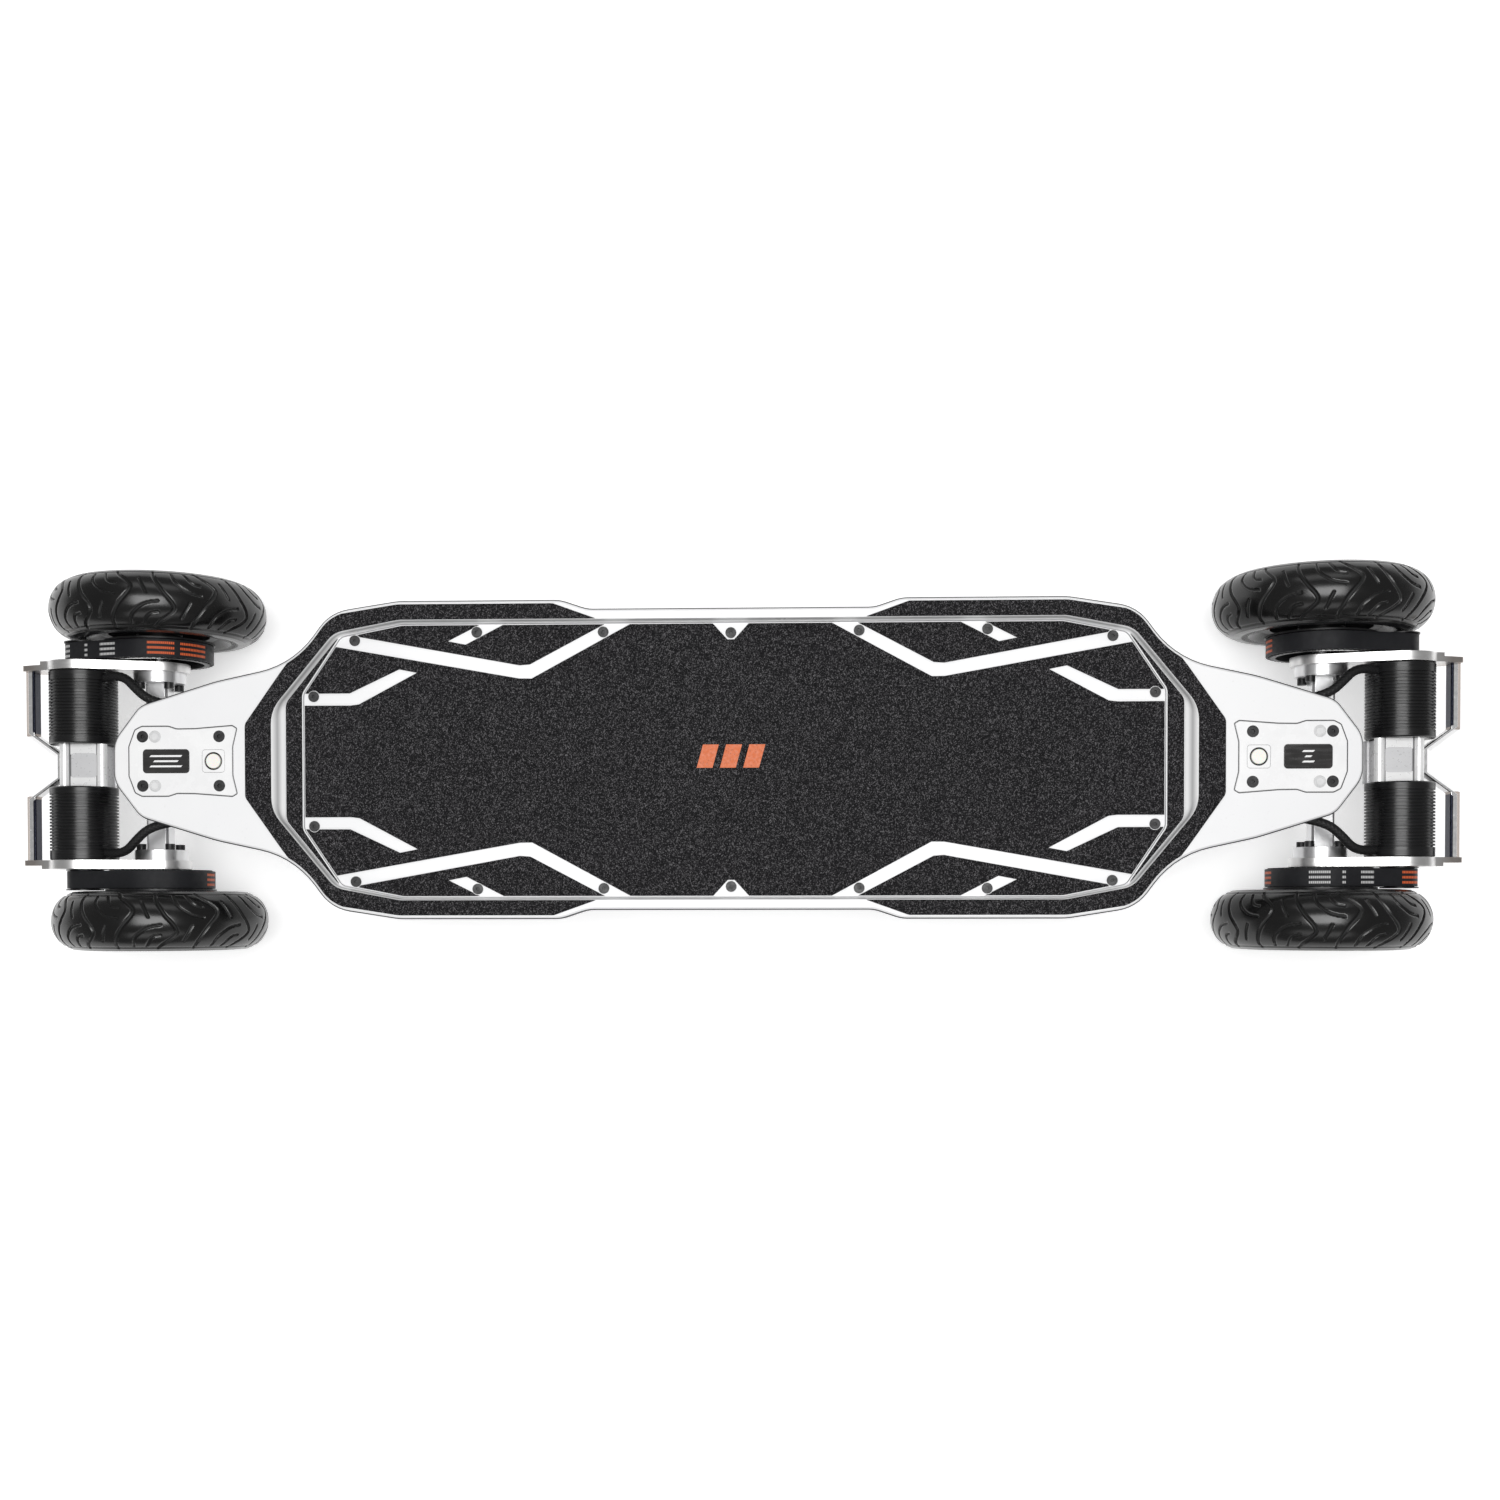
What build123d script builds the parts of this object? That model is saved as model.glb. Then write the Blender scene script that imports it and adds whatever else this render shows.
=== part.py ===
from build123d import *
import math
import os

os.makedirs("parts", exist_ok=True)

# An all-wheel-drive electric skateboard. X runs along the board, with the front at +X,
# Y is across it, with the left at +Y, and Z is up. The origin is on the floor, under the
# middle of the deck. Both ends and both sides are alike, so each truck, corner and nose
# fitting is made once, at the front left, and then turned or mirrored. All sizes are mm.

# Driving dimensions: wheels
TYRE_R = 89.0
TYRE_HALF_W = 24.8
SECTION_H = 24.0          # from the tyre's widest line out to its crown
AXLE_X = 492.0
AXLE_Z = TYRE_R
WHEEL_Y = 131.3
AXLE_R = 5.0
RIM_R = 45.5
RIM_HALF_W = 19.0
SPOKES = 5
BEARING_R = 11.0
BEARING_W = 6.0
RUN_GAP = 0.05            # radial clearance of a shaft or bearing that turns

# Driving dimensions: drive
TOOTH_PITCH = 5.0
WHEEL_TEETH = 54
MOTOR_TEETH = 16
TIP_DROP = 0.57           # a belt pulley's tip circle lies this far inside its pitch circle
BELT_Y = (89.0, 104.0)
BELT_GAP = 0.4
BELT_T = 2.0
MOTOR_DX = 61.5
MOTOR_DZ = 12.0
MOTOR_R = 28.0
MOTOR_Y = (18.0, 80.0)
SHAFT_R = 4.0
PLATE_Y = (80.0, 87.5)

# Driving dimensions: deck
DECK_TOP = 154.0
DECK_T = 16.0
DECK_BOTTOM = DECK_TOP - DECK_T
BELLY_BOTTOM = 106.0
BELLY_FLOOR = 4.0
LID_TOP = 144.0
LID_T = 4.0
LIP_T = 6.0
GRIP_T = 1.0
GASKET_T = 1.4

# Driving dimensions: steering
STEER_DEG = 40.0
STEER_X = 480.0
STEER_Z = 100.0
KING_R = 5.0
BASE_T = 8.0

MOTOR_X = AXLE_X + MOTOR_DX
MOTOR_Z = AXLE_Z + MOTOR_DZ
WHEEL_TIP_R = WHEEL_TEETH * TOOTH_PITCH / math.pi / 2 - TIP_DROP
MOTOR_TIP_R = MOTOR_TEETH * TOOTH_PITCH / math.pi / 2 - TIP_DROP


# ---------------------------------------------------------------- helpers

def rounded(corners):
    """A flat face from corner points, each (x, y, radius), with every corner rounded."""
    pieces = []
    ends = []
    count = len(corners)
    for i, (x, y, radius) in enumerate(corners):
        here = Vector(x, y)
        back = (Vector(*corners[i - 1][:2]) - here).normalized()
        ahead = (Vector(*corners[(i + 1) % count][:2]) - here).normalized()
        if radius == 0:
            ends.append((here, None, here))
            continue
        half = math.radians(back.get_angle(ahead)) / 2
        reach = radius / math.tan(half)
        centre = here + (back + ahead).normalized() * (radius / math.sin(half))
        middle = centre + (here - centre).normalized() * radius
        ends.append((here + back * reach, middle, here + ahead * reach))
    for i, (first, middle, last) in enumerate(ends):
        if middle is not None:
            pieces.append(ThreePointArc(first, middle, last))
        pieces.append(Line(last, ends[(i + 1) % count][0]))
    return make_face(pieces)


def four_way(quarter):
    """Corner points of a whole outline from those of its +X +Y quarter, nose first."""
    left = [(-x, y, r) for x, y, r in reversed(quarter)]
    return (quarter + left + [(-x, -y, r) for x, y, r in quarter]
            + [(x, -y, r) for x, y, r in reversed(quarter)])


def slab(face, low, high):
    """A flat face raised to the solid between two heights."""
    return extrude(Pos(0, 0, low) * face, amount=high - low, dir=(0, 0, 1))


def y_rod(x, z, radius, y_low, y_high):
    """A cylinder along Y."""
    return Pos(x, (y_low + y_high) / 2, z) * Rot(90, 0, 0) * Cylinder(radius, y_high - y_low)


def y_slab(face, y_low, y_high):
    """A face drawn in X and Z, given as X and Y, raised along Y."""
    plane = Plane(origin=(0, y_low, 0), x_dir=(1, 0, 0), z_dir=(0, -1, 0))
    return extrude(plane * face, amount=y_high - y_low, dir=(0, 1, 0))


def box_between(low, high):
    centre = [(a + b) / 2 for a, b in zip(low, high)]
    return Pos(*centre) * Box(*[b - a for a, b in zip(low, high)])


def round_pair(c1, r1, c2, r2):
    """The outline of a belt round two circles, as a face."""
    (x1, y1), (x2, y2) = c1, c2
    gap = math.hypot(x2 - x1, y2 - y1)
    along = math.atan2(y2 - y1, x2 - x1)
    lean = math.acos((r1 - r2) / gap)

    def at(centre, radius, angle):
        return Vector(centre[0] + radius * math.cos(angle), centre[1] + radius * math.sin(angle))

    a1, a2 = at(c1, r1, along + lean), at(c1, r1, along - lean)
    b1, b2 = at(c2, r2, along + lean), at(c2, r2, along - lean)
    return make_face([
        ThreePointArc(a1, at(c1, r1, along + math.pi), a2), Line(a2, b2),
        ThreePointArc(b2, at(c2, r2, along), b1), Line(b1, a1)])


def toothed(radius, teeth):
    """A pulley's section: a disc with a round groove for each belt tooth."""
    groove = Circle(1.55)
    cuts = [Rot(0, 0, 360 * i / teeth) * Pos(radius, 0) * groove for i in range(teeth)]
    return Circle(radius) - cuts


def mirrored(shape):
    return mirror(shape, about=Plane.XZ)


def turned(shape):
    return Rot(0, 0, 180) * shape


def both_sides(shape):
    return [shape, mirrored(shape)]


def four_copies(shape):
    pair = both_sides(shape)
    return pair + [turned(s) for s in pair]


def solids_of(shapes):
    found = []
    for shape in shapes if isinstance(shapes, list) else [shapes]:
        found += list(shape.solids())
    return found


def save(node, shapes):
    solids = solids_of(shapes)
    whole = solids[0] if len(solids) == 1 else Compound(children=solids)
    export_step(whole, f"parts/{node}.step")


# ---------------------------------------------------------------- deck outlines

DECK_QUARTER = [(508, 17, 25), (486, 46, 20), (423, 65.5, 150), (358.7, 79.3, 75),
                (327.8, 121.3, 36), (272, 130, 60), (138.5, 130, 30), (116.5, 122.6, 30)]
BELLY_QUARTER = [(392, 50, 15), (322, 112, 15), (272, 123.5, 60), (137, 123.5, 30), (117.5, 116.4, 30)]
WELL_LOW_QUARTER = [(367.6, 48.5, 12), (323.5, 102.4, 15), (270, 112.8, 30)]
WELL_HIGH_QUARTER = [(376.5, 41, 30), (324.3, 104, 20), (271, 114.1, 30)]
LID_QUARTER = [(352.2, 55.5, 9), (320.8, 102, 8), (270, 112, 30)]
GRIP_QUARTER = [(398.2, 30, 8), (367.5, 73.5, 12), (357, 87, 20), (331, 117.5, 15), (272, 126.8, 40),
                (144.5, 126.8, 6), (110.4, 114.6, 0)]
STRIPE_LONG = [(330, 94.8), (322.1, 93.4), (173.7, 67.2), (163.4, 67.1), (78.7, 113), (100, 113),
               (165, 78.7), (173.6, 78.1), (302.1, 101.4), (322, 105)]
STRIPE_SHORT = [(232.6, 98), (217.7, 95.1), (183, 113), (203, 113)]
STRIPE_END = [(362, 55.8), (314, 55.9), (272.8, 75.3), (258, 72.4), (306.2, 46.7), (313.3, 45.8), (362, 45.9)]
STRIPE_MIDDLE = [(16.5, 113), (2.8, 98), (-2.8, 98), (-16.5, 113)]
LID_SCREWS = [(104.5, 104.8), (208.5, 105.2), (309.5, 99.0), (343.8, 53.3)]
LID_SCREW_MIDDLE = (0, 103.5)
PLATE_HALF = [(494.5, 12, 3), (489.5, 25.5, 3), (484, 28.3, 4), (462, 28.3, 8), (455, 26, 8), (440, 26.2, 20),
              (409, 28.6, 2), (405.5, 26.5, 1), (409, 12, 12)]
BOLT_X = (419.7, 483.3)
BOLT_Y = 20.2
PLUG_X = 473.0
BADGE_X = (444.5, 483.0)
BADGE_HALF_W = 9.7
BUTTON_X = 424.5
BUTTON_R = 6.6
BUTTON_TRAVEL = 1.2
BEZEL_HALF = 9.3
PLATE_RECESS = 2.0
PLATE_PROUD = 0.4

deck_face = rounded(four_way(DECK_QUARTER))
lid_face = rounded(four_way(LID_QUARTER))


def outline_pair(half):
    """Corner points of a nose plate from those of its +Y half."""
    return half + [(x, -y, r) for x, y, r in reversed(half)]


plate_face = rounded(outline_pair(PLATE_HALF))


# ---------------------------------------------------------------- fasteners

def countersunk(x, y, top, head_r, head_h, shank_r, length):
    """A flat-headed socket screw, head up, its top face at the given height."""
    rim = 0.6
    head = Pos(x, y, top - rim / 2) * Cylinder(head_r, rim)
    cone_h = head_h - rim
    cone = Pos(x, y, top - rim - cone_h / 2) * Cone(shank_r, head_r, cone_h)
    shank = Pos(x, y, top - length / 2) * Cylinder(shank_r, length)
    return head + cone + shank


def hex_socket(x, y, top, across, depth):
    return slab(Pos(x, y) * RegularPolygon(across / 2, 6, major_radius=False), top - depth, top)


def lid_screw(x, y):
    return countersunk(x, y, LID_TOP + GRIP_T, 4.4, 3.2, 1.6, 9.5)


def truck_bolt(x, y):
    return countersunk(x, y, DECK_TOP + PLATE_PROUD, 4.8, 3.4, 2.5, 24.0)


lid_places = [(LID_SCREW_MIDDLE[0], s * LID_SCREW_MIDDLE[1]) for s in (1, -1)]
lid_places += [(sx * x, sy * y) for x, y in LID_SCREWS for sx in (1, -1) for sy in (1, -1)]
bolt_places = [(sx * x, sy * BOLT_Y) for x in BOLT_X for sx in (1, -1) for sy in (1, -1)]
lid_blanks = [lid_screw(x, y) for x, y in lid_places]
bolt_blanks = [truck_bolt(x, y) for x, y in bolt_places]
lid_screws = [b - hex_socket(x, y, LID_TOP + GRIP_T, 2.6, 1.8) for b, (x, y) in zip(lid_blanks, lid_places)]
truck_bolts = [b - hex_socket(x, y, DECK_TOP + PLATE_PROUD, 3.2, 2.2)
               for b, (x, y) in zip(bolt_blanks, bolt_places)]


# ---------------------------------------------------------------- deck

def make_shell():
    """The one-piece board: rim, raised ends, belly tub and the well that the lid closes."""
    rim = slab(deck_face, DECK_BOTTOM, DECK_TOP)
    rim = chamfer(rim.edges().group_by(Axis.Z)[-1], 2.2)
    rim = chamfer(rim.edges().group_by(Axis.Z)[0], 2.2)
    belly = slab(rounded(four_way(BELLY_QUARTER)), BELLY_BOTTOM, DECK_BOTTOM + 2)
    belly = chamfer(belly.edges().group_by(Axis.Z)[0], 10)
    well = loft([Pos(0, 0, LID_TOP) * rounded(four_way(WELL_LOW_QUARTER)),
                 Pos(0, 0, DECK_TOP) * rounded(four_way(WELL_HIGH_QUARTER))], ruled=True)
    seat = LID_TOP - LID_T
    pocket = slab(offset(lid_face, 0.5), seat, LID_TOP)
    mouth = slab(offset(lid_face, -16), seat - LIP_T, seat)
    cavity = slab(offset(lid_face, -7.6), BELLY_BOTTOM + BELLY_FLOOR, seat - LIP_T)
    groove = slab(offset(lid_face, -11.5) - offset(lid_face, -14), seat - GASKET_T, seat)
    shell = rim + belly - well - pocket - mouth - cavity - groove
    recess_low = DECK_TOP - PLATE_RECESS
    for turn in (0, 180):
        shell -= Rot(0, 0, turn) * slab(offset(plate_face, 0.9), recess_low, DECK_TOP)
        shell -= Rot(0, 0, turn) * Pos(BUTTON_X, 0, recess_low - 4) * Cylinder(BUTTON_R + 1.5, 8)
    return shell - lid_blanks - bolt_blanks


def make_lid():
    lid = slab(lid_face, LID_TOP - LID_T, LID_TOP)
    lid = chamfer(lid.edges().group_by(Axis.Z)[-1], 0.5)
    return lid - lid_blanks


def stripe_faces():
    quarter = [make_face(Polyline(*s, close=True)) for s in (STRIPE_LONG, STRIPE_SHORT, STRIPE_END)]
    middle = make_face(Polyline(*STRIPE_MIDDLE, close=True))
    faces = []
    for face in quarter:
        faces += [face, mirror(face, about=Plane.XZ), mirror(face, about=Plane.YZ), Rot(0, 0, 180) * face]
    return faces + [middle, Rot(0, 0, 180) * middle]


def make_lid_grip():
    """Grip sheet on the lid, parted by the bare stripes between its pieces."""
    face = offset(lid_face, -1.0)
    for stripe in stripe_faces():
        face -= stripe
    for x, y in lid_places:
        face -= Pos(x, y) * Circle(5.0)
    return [slab(f, LID_TOP, LID_TOP + GRIP_T) for f in face.faces()]


def make_deck_grips():
    """The grip round each end and its two wings, and the band inside each end's slope."""
    whole = rounded(outline_pair(GRIP_QUARTER))
    ring = (whole & offset(deck_face, -2.8)) - offset(rounded(four_way(WELL_HIGH_QUARTER)), 0.3)
    end = Pos(450, 0) * Rectangle(260, 400)
    band = (offset(rounded(four_way(WELL_LOW_QUARTER)), -0.6) - offset(lid_face, 1.5)) & end
    made = [slab(f, DECK_TOP, DECK_TOP + GRIP_T) for f in ring.faces()]
    made += [slab(f, LID_TOP, LID_TOP + GRIP_T) for f in band.faces()]
    return made + [turned(m) for m in made]


def make_gasket():
    ring = offset(lid_face, -11.5) - offset(lid_face, -14)
    return slab(ring, LID_TOP - LID_T - GASKET_T, LID_TOP - LID_T)


# ---------------------------------------------------------------- nose and tail fittings

plate_low = DECK_TOP - PLATE_RECESS
plate_top = DECK_TOP + PLATE_PROUD
badge_face = Pos(sum(BADGE_X) / 2, 0) * RectangleRounded(BADGE_X[1] - BADGE_X[0], 2 * BADGE_HALF_W, 3)
bezel_face = Pos(BUTTON_X, 0) * RectangleRounded(2 * BEZEL_HALF, 2 * BEZEL_HALF, 2.6)


def make_nose_plate():
    plate = slab(plate_face, plate_low, plate_top)
    plate = chamfer(plate.edges().group_by(Axis.Z)[-1], 0.4)
    plate -= slab(offset(badge_face, 0.15), plate_top - 1.0, plate_top)
    plate -= slab(offset(bezel_face, 0.15), plate_low, plate_top)
    for y in (BOLT_Y, -BOLT_Y):
        plate -= Pos(PLUG_X, y, plate_top - 0.6) * Cylinder(4.9, 1.2)
        for x in BOLT_X:
            plate -= truck_bolt(x, y)
    return plate


def make_badge():
    badge = slab(badge_face, plate_top - 1.0, plate_top + 0.3)
    return chamfer(badge.edges().group_by(Axis.Z)[-1], 0.25)


def make_plug(y):
    plug = Pos(PLUG_X, y, plate_top - 0.45) * Cylinder(4.9, 1.5)
    return chamfer(plug.edges().group_by(Axis.Z)[-1], 0.4)


def make_bezel():
    bezel = slab(bezel_face, plate_low, plate_top + 0.2)
    bezel = chamfer(bezel.edges().group_by(Axis.Z)[-1], 0.3)
    return bezel - Pos(BUTTON_X, 0, DECK_TOP) * Cylinder(BUTTON_R + 0.8, 10)


def make_button():
    """A round push button with a serrated skirt. It has room to sink by its travel."""
    top = plate_top + 0.8
    skirt = Pos(BUTTON_X, 0, top - 1.6) * extrude(toothed(BUTTON_R + 0.4, 36), amount=1.2)
    cap = Pos(BUTTON_X, 0, top - 2.5) * Cylinder(BUTTON_R - 0.6, 5)
    cap = chamfer(cap.edges().group_by(Axis.Z)[-1], 0.4)
    return skirt + cap


# ---------------------------------------------------------------- what the belly holds

bay_floor = BELLY_BOTTOM + BELLY_FLOOR
CELL_R = 10.6
CELL_L = 70.0
CELL_ROWS = 18
CELL_GAP = 0.6


def make_battery():
    """Two rows of cylindrical cells lying across the board, in one wrapped pack."""
    pitch = 2 * CELL_R + CELL_GAP
    length = CELL_ROWS * pitch
    tray = box_between((-length / 2 - 2, -CELL_L - 6, bay_floor), (length / 2 + 2, CELL_L + 6, bay_floor + CELL_R))
    cells = [y_rod(-length / 2 + pitch * (i + 0.5), bay_floor + CELL_R + 1, CELL_R, low, low + CELL_L - 2)
             for i in range(CELL_ROWS) for low in (-CELL_L, 2)]
    return tray + cells


def make_controller():
    """A dual motor controller: finned case on the front half, turned for the rear."""
    case = box_between((210, -60, bay_floor), (300, 60, bay_floor + 18))
    fins = [box_between((215, y - 2, bay_floor + 18), (295, y + 2, bay_floor + 22)) for y in range(-54, 55, 12)]
    return case + fins


def make_bms():
    board = box_between((-150, 78, bay_floor), (-60, 100, bay_floor + 4))
    parts = [box_between((x, 82, bay_floor + 4), (x + 9, 96, bay_floor + 9)) for x in range(-145, -70, 14)]
    return board + parts


# ---------------------------------------------------------------- steering head

steer_u = Vector(math.cos(math.radians(STEER_DEG)), 0, math.sin(math.radians(STEER_DEG)))
steer_w = Vector(-math.sin(math.radians(STEER_DEG)), 0, math.cos(math.radians(STEER_DEG)))
BOSS_R = 15.0
BOSS_HALF = 19.5
BEAM_HALF = 9.5
DAMPER_X = 488.0
DAMPER_Y = 25.0
DAMPER_R = 8.5
EAR_NEAR = 20.0
EAR_FAR = 29.0


def on_head(along, up):
    """A point of the steering head, as X and Z, from its place along and above the axis."""
    return (STEER_X + along * steer_u.X + up * steer_w.X, STEER_Z + along * steer_u.Z + up * steer_w.Z)


def along_axis(radius, low, high):
    """A cylinder along the steering axis."""
    middle = (low + high) / 2
    x, z = on_head(middle, 0)
    return Plane(origin=(x, 0, z), z_dir=steer_u) * Cylinder(radius, high - low)


def make_truck_base():
    """Mounting plate with the two ears that hold the king bolt."""
    outline = rounded(outline_pair([(502, 22, 8), (494, 36, 6), (468, 36, 6), (458, 31, 6), (410, 31, 8)]))
    plate = slab(outline, DECK_BOTTOM - BASE_T, DECK_BOTTOM)
    front_ear = make_face(Polyline(on_head(EAR_NEAR, -12), on_head(EAR_FAR, -12), on_head(EAR_FAR, 14),
                                   (498, 134), (478, 134), on_head(EAR_NEAR, 16), close=True))
    rear_ear = make_face(Polyline(on_head(-EAR_NEAR, -12), on_head(-EAR_FAR, -12), on_head(-EAR_FAR, 4),
                                  (430, 134), (458, 134), on_head(-EAR_NEAR, 17), close=True))
    base = plate + y_slab(front_ear, -11, 11) + y_slab(rear_ear, -11, 11)
    base -= along_axis(KING_R, -60, 60)
    for x in BOLT_X:
        for y in (BOLT_Y, -BOLT_Y):
            base -= truck_bolt(x, y)
    return base


def make_king_bolt():
    shank = along_axis(KING_R, -EAR_FAR - 6, EAR_FAR)
    x, z = on_head(EAR_FAR, 0)
    head = Plane(origin=(x, 0, z), z_dir=steer_u) * extrude(RegularPolygon(8.5, 6), amount=5)
    x, z = on_head(-EAR_FAR, 0)
    nut = Plane(origin=(x, 0, z), z_dir=-steer_u) * extrude(RegularPolygon(8.5, 6), amount=5)
    return [shank + head, nut - along_axis(KING_R, -60, 60)]


def make_damper():
    """A rubber steering damper, waisted by two grooves, under one side of the base."""
    low, high = AXLE_Z + BEAM_HALF, DECK_BOTTOM - BASE_T
    height = high - low
    body = Pos(DAMPER_X, DAMPER_Y, (low + high) / 2) * Cylinder(DAMPER_R, height)
    for share in (0.33, 0.67):
        body -= Pos(DAMPER_X, DAMPER_Y, low + share * height) * Torus(DAMPER_R + 1.1, 2.6)
    return body


# ---------------------------------------------------------------- truck

FLANGE_R = 22.0
FLANGE_T = 9.0
FLANGE_BOLT_R = 17.5
MOTOR_BOLT_R = 19.0
flange_bolt_places = [(AXLE_X + FLANGE_BOLT_R * math.cos(a), AXLE_Z + FLANGE_BOLT_R * math.sin(a))
                      for a in [math.radians(45 + 90 * i) for i in range(4)]]
motor_bolt_places = [(MOTOR_X + MOTOR_BOLT_R * math.cos(a), MOTOR_Z + MOTOR_BOLT_R * math.sin(a))
                     for a in [math.radians(45 + 90 * i) for i in range(4)]]


def make_hanger():
    """Square beam, a flange at each end for the motor plates, and the steering boss."""
    inner = PLATE_Y[0] - FLANGE_T
    beam = box_between((AXLE_X - BEAM_HALF, -inner, AXLE_Z - BEAM_HALF), (AXLE_X + BEAM_HALF, inner, AXLE_Z + BEAM_HALF))
    beam = chamfer(beam.edges().filter_by(Axis.Y), 2)
    body = beam + along_axis(BOSS_R, -BOSS_HALF, BOSS_HALF)
    body += box_between((481, -16, AXLE_Z - 8), (499, 16, AXLE_Z + 9))
    for side in both_sides(y_rod(AXLE_X, AXLE_Z, FLANGE_R, inner, PLATE_Y[0])):
        body += side
    body -= along_axis(KING_R + RUN_GAP, -60, 60)
    body -= y_rod(AXLE_X, AXLE_Z, AXLE_R, -100, 100)
    for x, z in flange_bolt_places:
        for side in both_sides(y_rod(x, z, 2.5, inner - 1, PLATE_Y[0] + 1)):
            body -= side
    return body


def make_axle():
    """Through axle with the shoulders that the inner bearings sit against."""
    rim_in = WHEEL_Y - RIM_HALF_W
    axle = y_rod(AXLE_X, AXLE_Z, AXLE_R, -WHEEL_Y - 23, WHEEL_Y + 23)
    for side in both_sides(y_rod(AXLE_X, AXLE_Z, 7.5, PLATE_Y[1], rim_in)):
        axle += side
    return axle


def make_axle_nut():
    out = WHEEL_Y + 15
    washer = y_rod(AXLE_X, AXLE_Z, 7.6, out, out + 1.2)
    plane = Plane(origin=(AXLE_X, out + 1.2, AXLE_Z), z_dir=(0, 1, 0))
    nut = plane * extrude(RegularPolygon(8.6, 6), amount=5.6)
    return washer + nut - y_rod(AXLE_X, AXLE_Z, AXLE_R, 100, 200)


def make_mount_plate():
    """Plate that carries the motor on the hanger, thinner at its end, where the bumper bolts on."""
    axle, motor = (AXLE_X, AXLE_Z), (MOTOR_X, MOTOR_Z)
    side = round_pair(axle, 25.5, motor, 30)
    tail = rounded([(MOTOR_X, MOTOR_Z + 24, 0), (590, MOTOR_Z + 15, 8), (602, MOTOR_Z + 10, 3),
                    (602, MOTOR_Z - 10, 3), (590, MOTOR_Z - 15, 8), (MOTOR_X, MOTOR_Z - 24, 0)])
    plate = y_slab(side + tail, *PLATE_Y)
    plate -= box_between((584, PLATE_Y[0] + 4.5, 60), (620, 100, 140))
    plate -= y_rod(*axle, AXLE_R, 70, 100)
    plate -= y_rod(*motor, 9, 70, 100)
    for x, z in flange_bolt_places:
        plate -= y_rod(x, z, 2.5, 70, 100)
    for x, z in motor_bolt_places:
        plate -= motor_bolt(x, z)
    return plate


def motor_bolt(x, z):
    """Flat-headed screw, flush in the plate's outer face, into the motor's end."""
    head = 2.6
    cone = Plane(origin=(x, PLATE_Y[1] - head / 2, z), z_dir=(0, 1, 0)) * Cone(2, 4, head)
    return cone + y_rod(x, z, 2, PLATE_Y[0] - 8, PLATE_Y[1] - head / 2)


def flange_bolt(x, z):
    inner = PLATE_Y[0] - FLANGE_T
    return y_rod(x, z, 4, inner - 5, inner) + y_rod(x, z, 2.5, inner, PLATE_Y[1])


BUMPER_BEVEL = 3.6


def make_bumper():
    """Bent bar round the motors: straight by each plate, slanted in to a neck at the middle.

    Its top edge is bevelled wide along the outside and broken by a fine chamfer along the inside.
    """
    half_outer = [(602, 80), (602, 26), (577.5, 8)]
    half_inner = [(570, 9.6), (593, 26.5), (593, 80)]
    outer = half_outer + [(x, -y) for x, y in reversed(half_outer)]
    inner = [(x, -y) for x, y in reversed(half_inner)] + half_inner
    top = MOTOR_Z + 6
    bumper = slab(make_face(Polyline(*outer, *inner, close=True)), MOTOR_Z - 6, top)
    outer_path = Pos(0, 0, top) * Polyline(*outer)
    inner_path = Pos(0, 0, top) * Polyline(*inner)

    def edges_along(path):
        return bumper.edges().filter_by(lambda edge: path.distance_to(edge.center()) < 0.05)

    bumper = chamfer(edges_along(outer_path), BUMPER_BEVEL)
    return chamfer(edges_along(inner_path), 0.8)


def make_bridge():
    """Block between the two motors, with a recessed top panel and two round rails."""
    y_half = MOTOR_Y[0]
    block = box_between((534, -y_half, 82), (570, y_half, 122))
    rails = [y_rod(x, 120, 4.2, -y_half, y_half) for x in (536, 568)]
    feet = [y_rod(x, 84, 4.2, -y_half, y_half) for x in (536, 568)]
    panel = slab(Pos(552, 0) * RectangleRounded(25, 20, 4), 120.5, 122)
    return block + rails + feet - panel


def make_motor():
    """Sealed motor can: ring fins between two plain end bands, and a bore for the shaft."""
    y_low, y_high = MOTOR_Y
    band, fin, slot, depth = 6.5, 1.35, 1.35, 1.6
    points = [(0, y_low), (MOTOR_R - 1, y_low), (MOTOR_R, y_low + 1)]
    y = y_low + band
    while y + slot < y_high - band:
        points += [(MOTOR_R, y), (MOTOR_R - depth, y), (MOTOR_R - depth, y + slot), (MOTOR_R, y + slot)]
        y += slot + fin
    points += [(MOTOR_R, y_high - 1), (MOTOR_R - 1, y_high), (0, y_high)]
    can = revolve(make_face(Polyline(*points, close=True)), axis=Axis.Y)
    can = Pos(MOTOR_X, 0, MOTOR_Z) * can
    can -= y_rod(MOTOR_X, MOTOR_Z, SHAFT_R + RUN_GAP, 60, 100)
    for x, z in motor_bolt_places:
        can -= motor_bolt(x, z)
    return can


def make_belt():
    axle, motor = (AXLE_X, AXLE_Z), (MOTOR_X, MOTOR_Z)
    inner = round_pair(axle, WHEEL_TIP_R + BELT_GAP, motor, MOTOR_TIP_R + BELT_GAP)
    outer = round_pair(axle, WHEEL_TIP_R + BELT_GAP + BELT_T, motor, MOTOR_TIP_R + BELT_GAP + BELT_T)
    return y_slab(outer - inner, *BELT_Y)


def make_motor_pulley():
    """Toothed pulley between two thin flanges, pressed on the motor shaft."""
    low, high = BELT_Y[0] - 0.4, BELT_Y[1] + 0.4
    ring = y_slab(toothed(MOTOR_TIP_R, MOTOR_TEETH), low, high)
    ring = Pos(MOTOR_X, 0, MOTOR_Z) * ring
    ring += y_rod(MOTOR_X, MOTOR_Z, 15.4, low - 0.7, low)
    ring += y_rod(MOTOR_X, MOTOR_Z, 15.4, high, high + 1)
    ring -= y_rod(MOTOR_X, MOTOR_Z, SHAFT_R, 50, 120)
    return [ring, y_rod(MOTOR_X, MOTOR_Z, SHAFT_R, 60.5, high + 1.1)]


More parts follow.
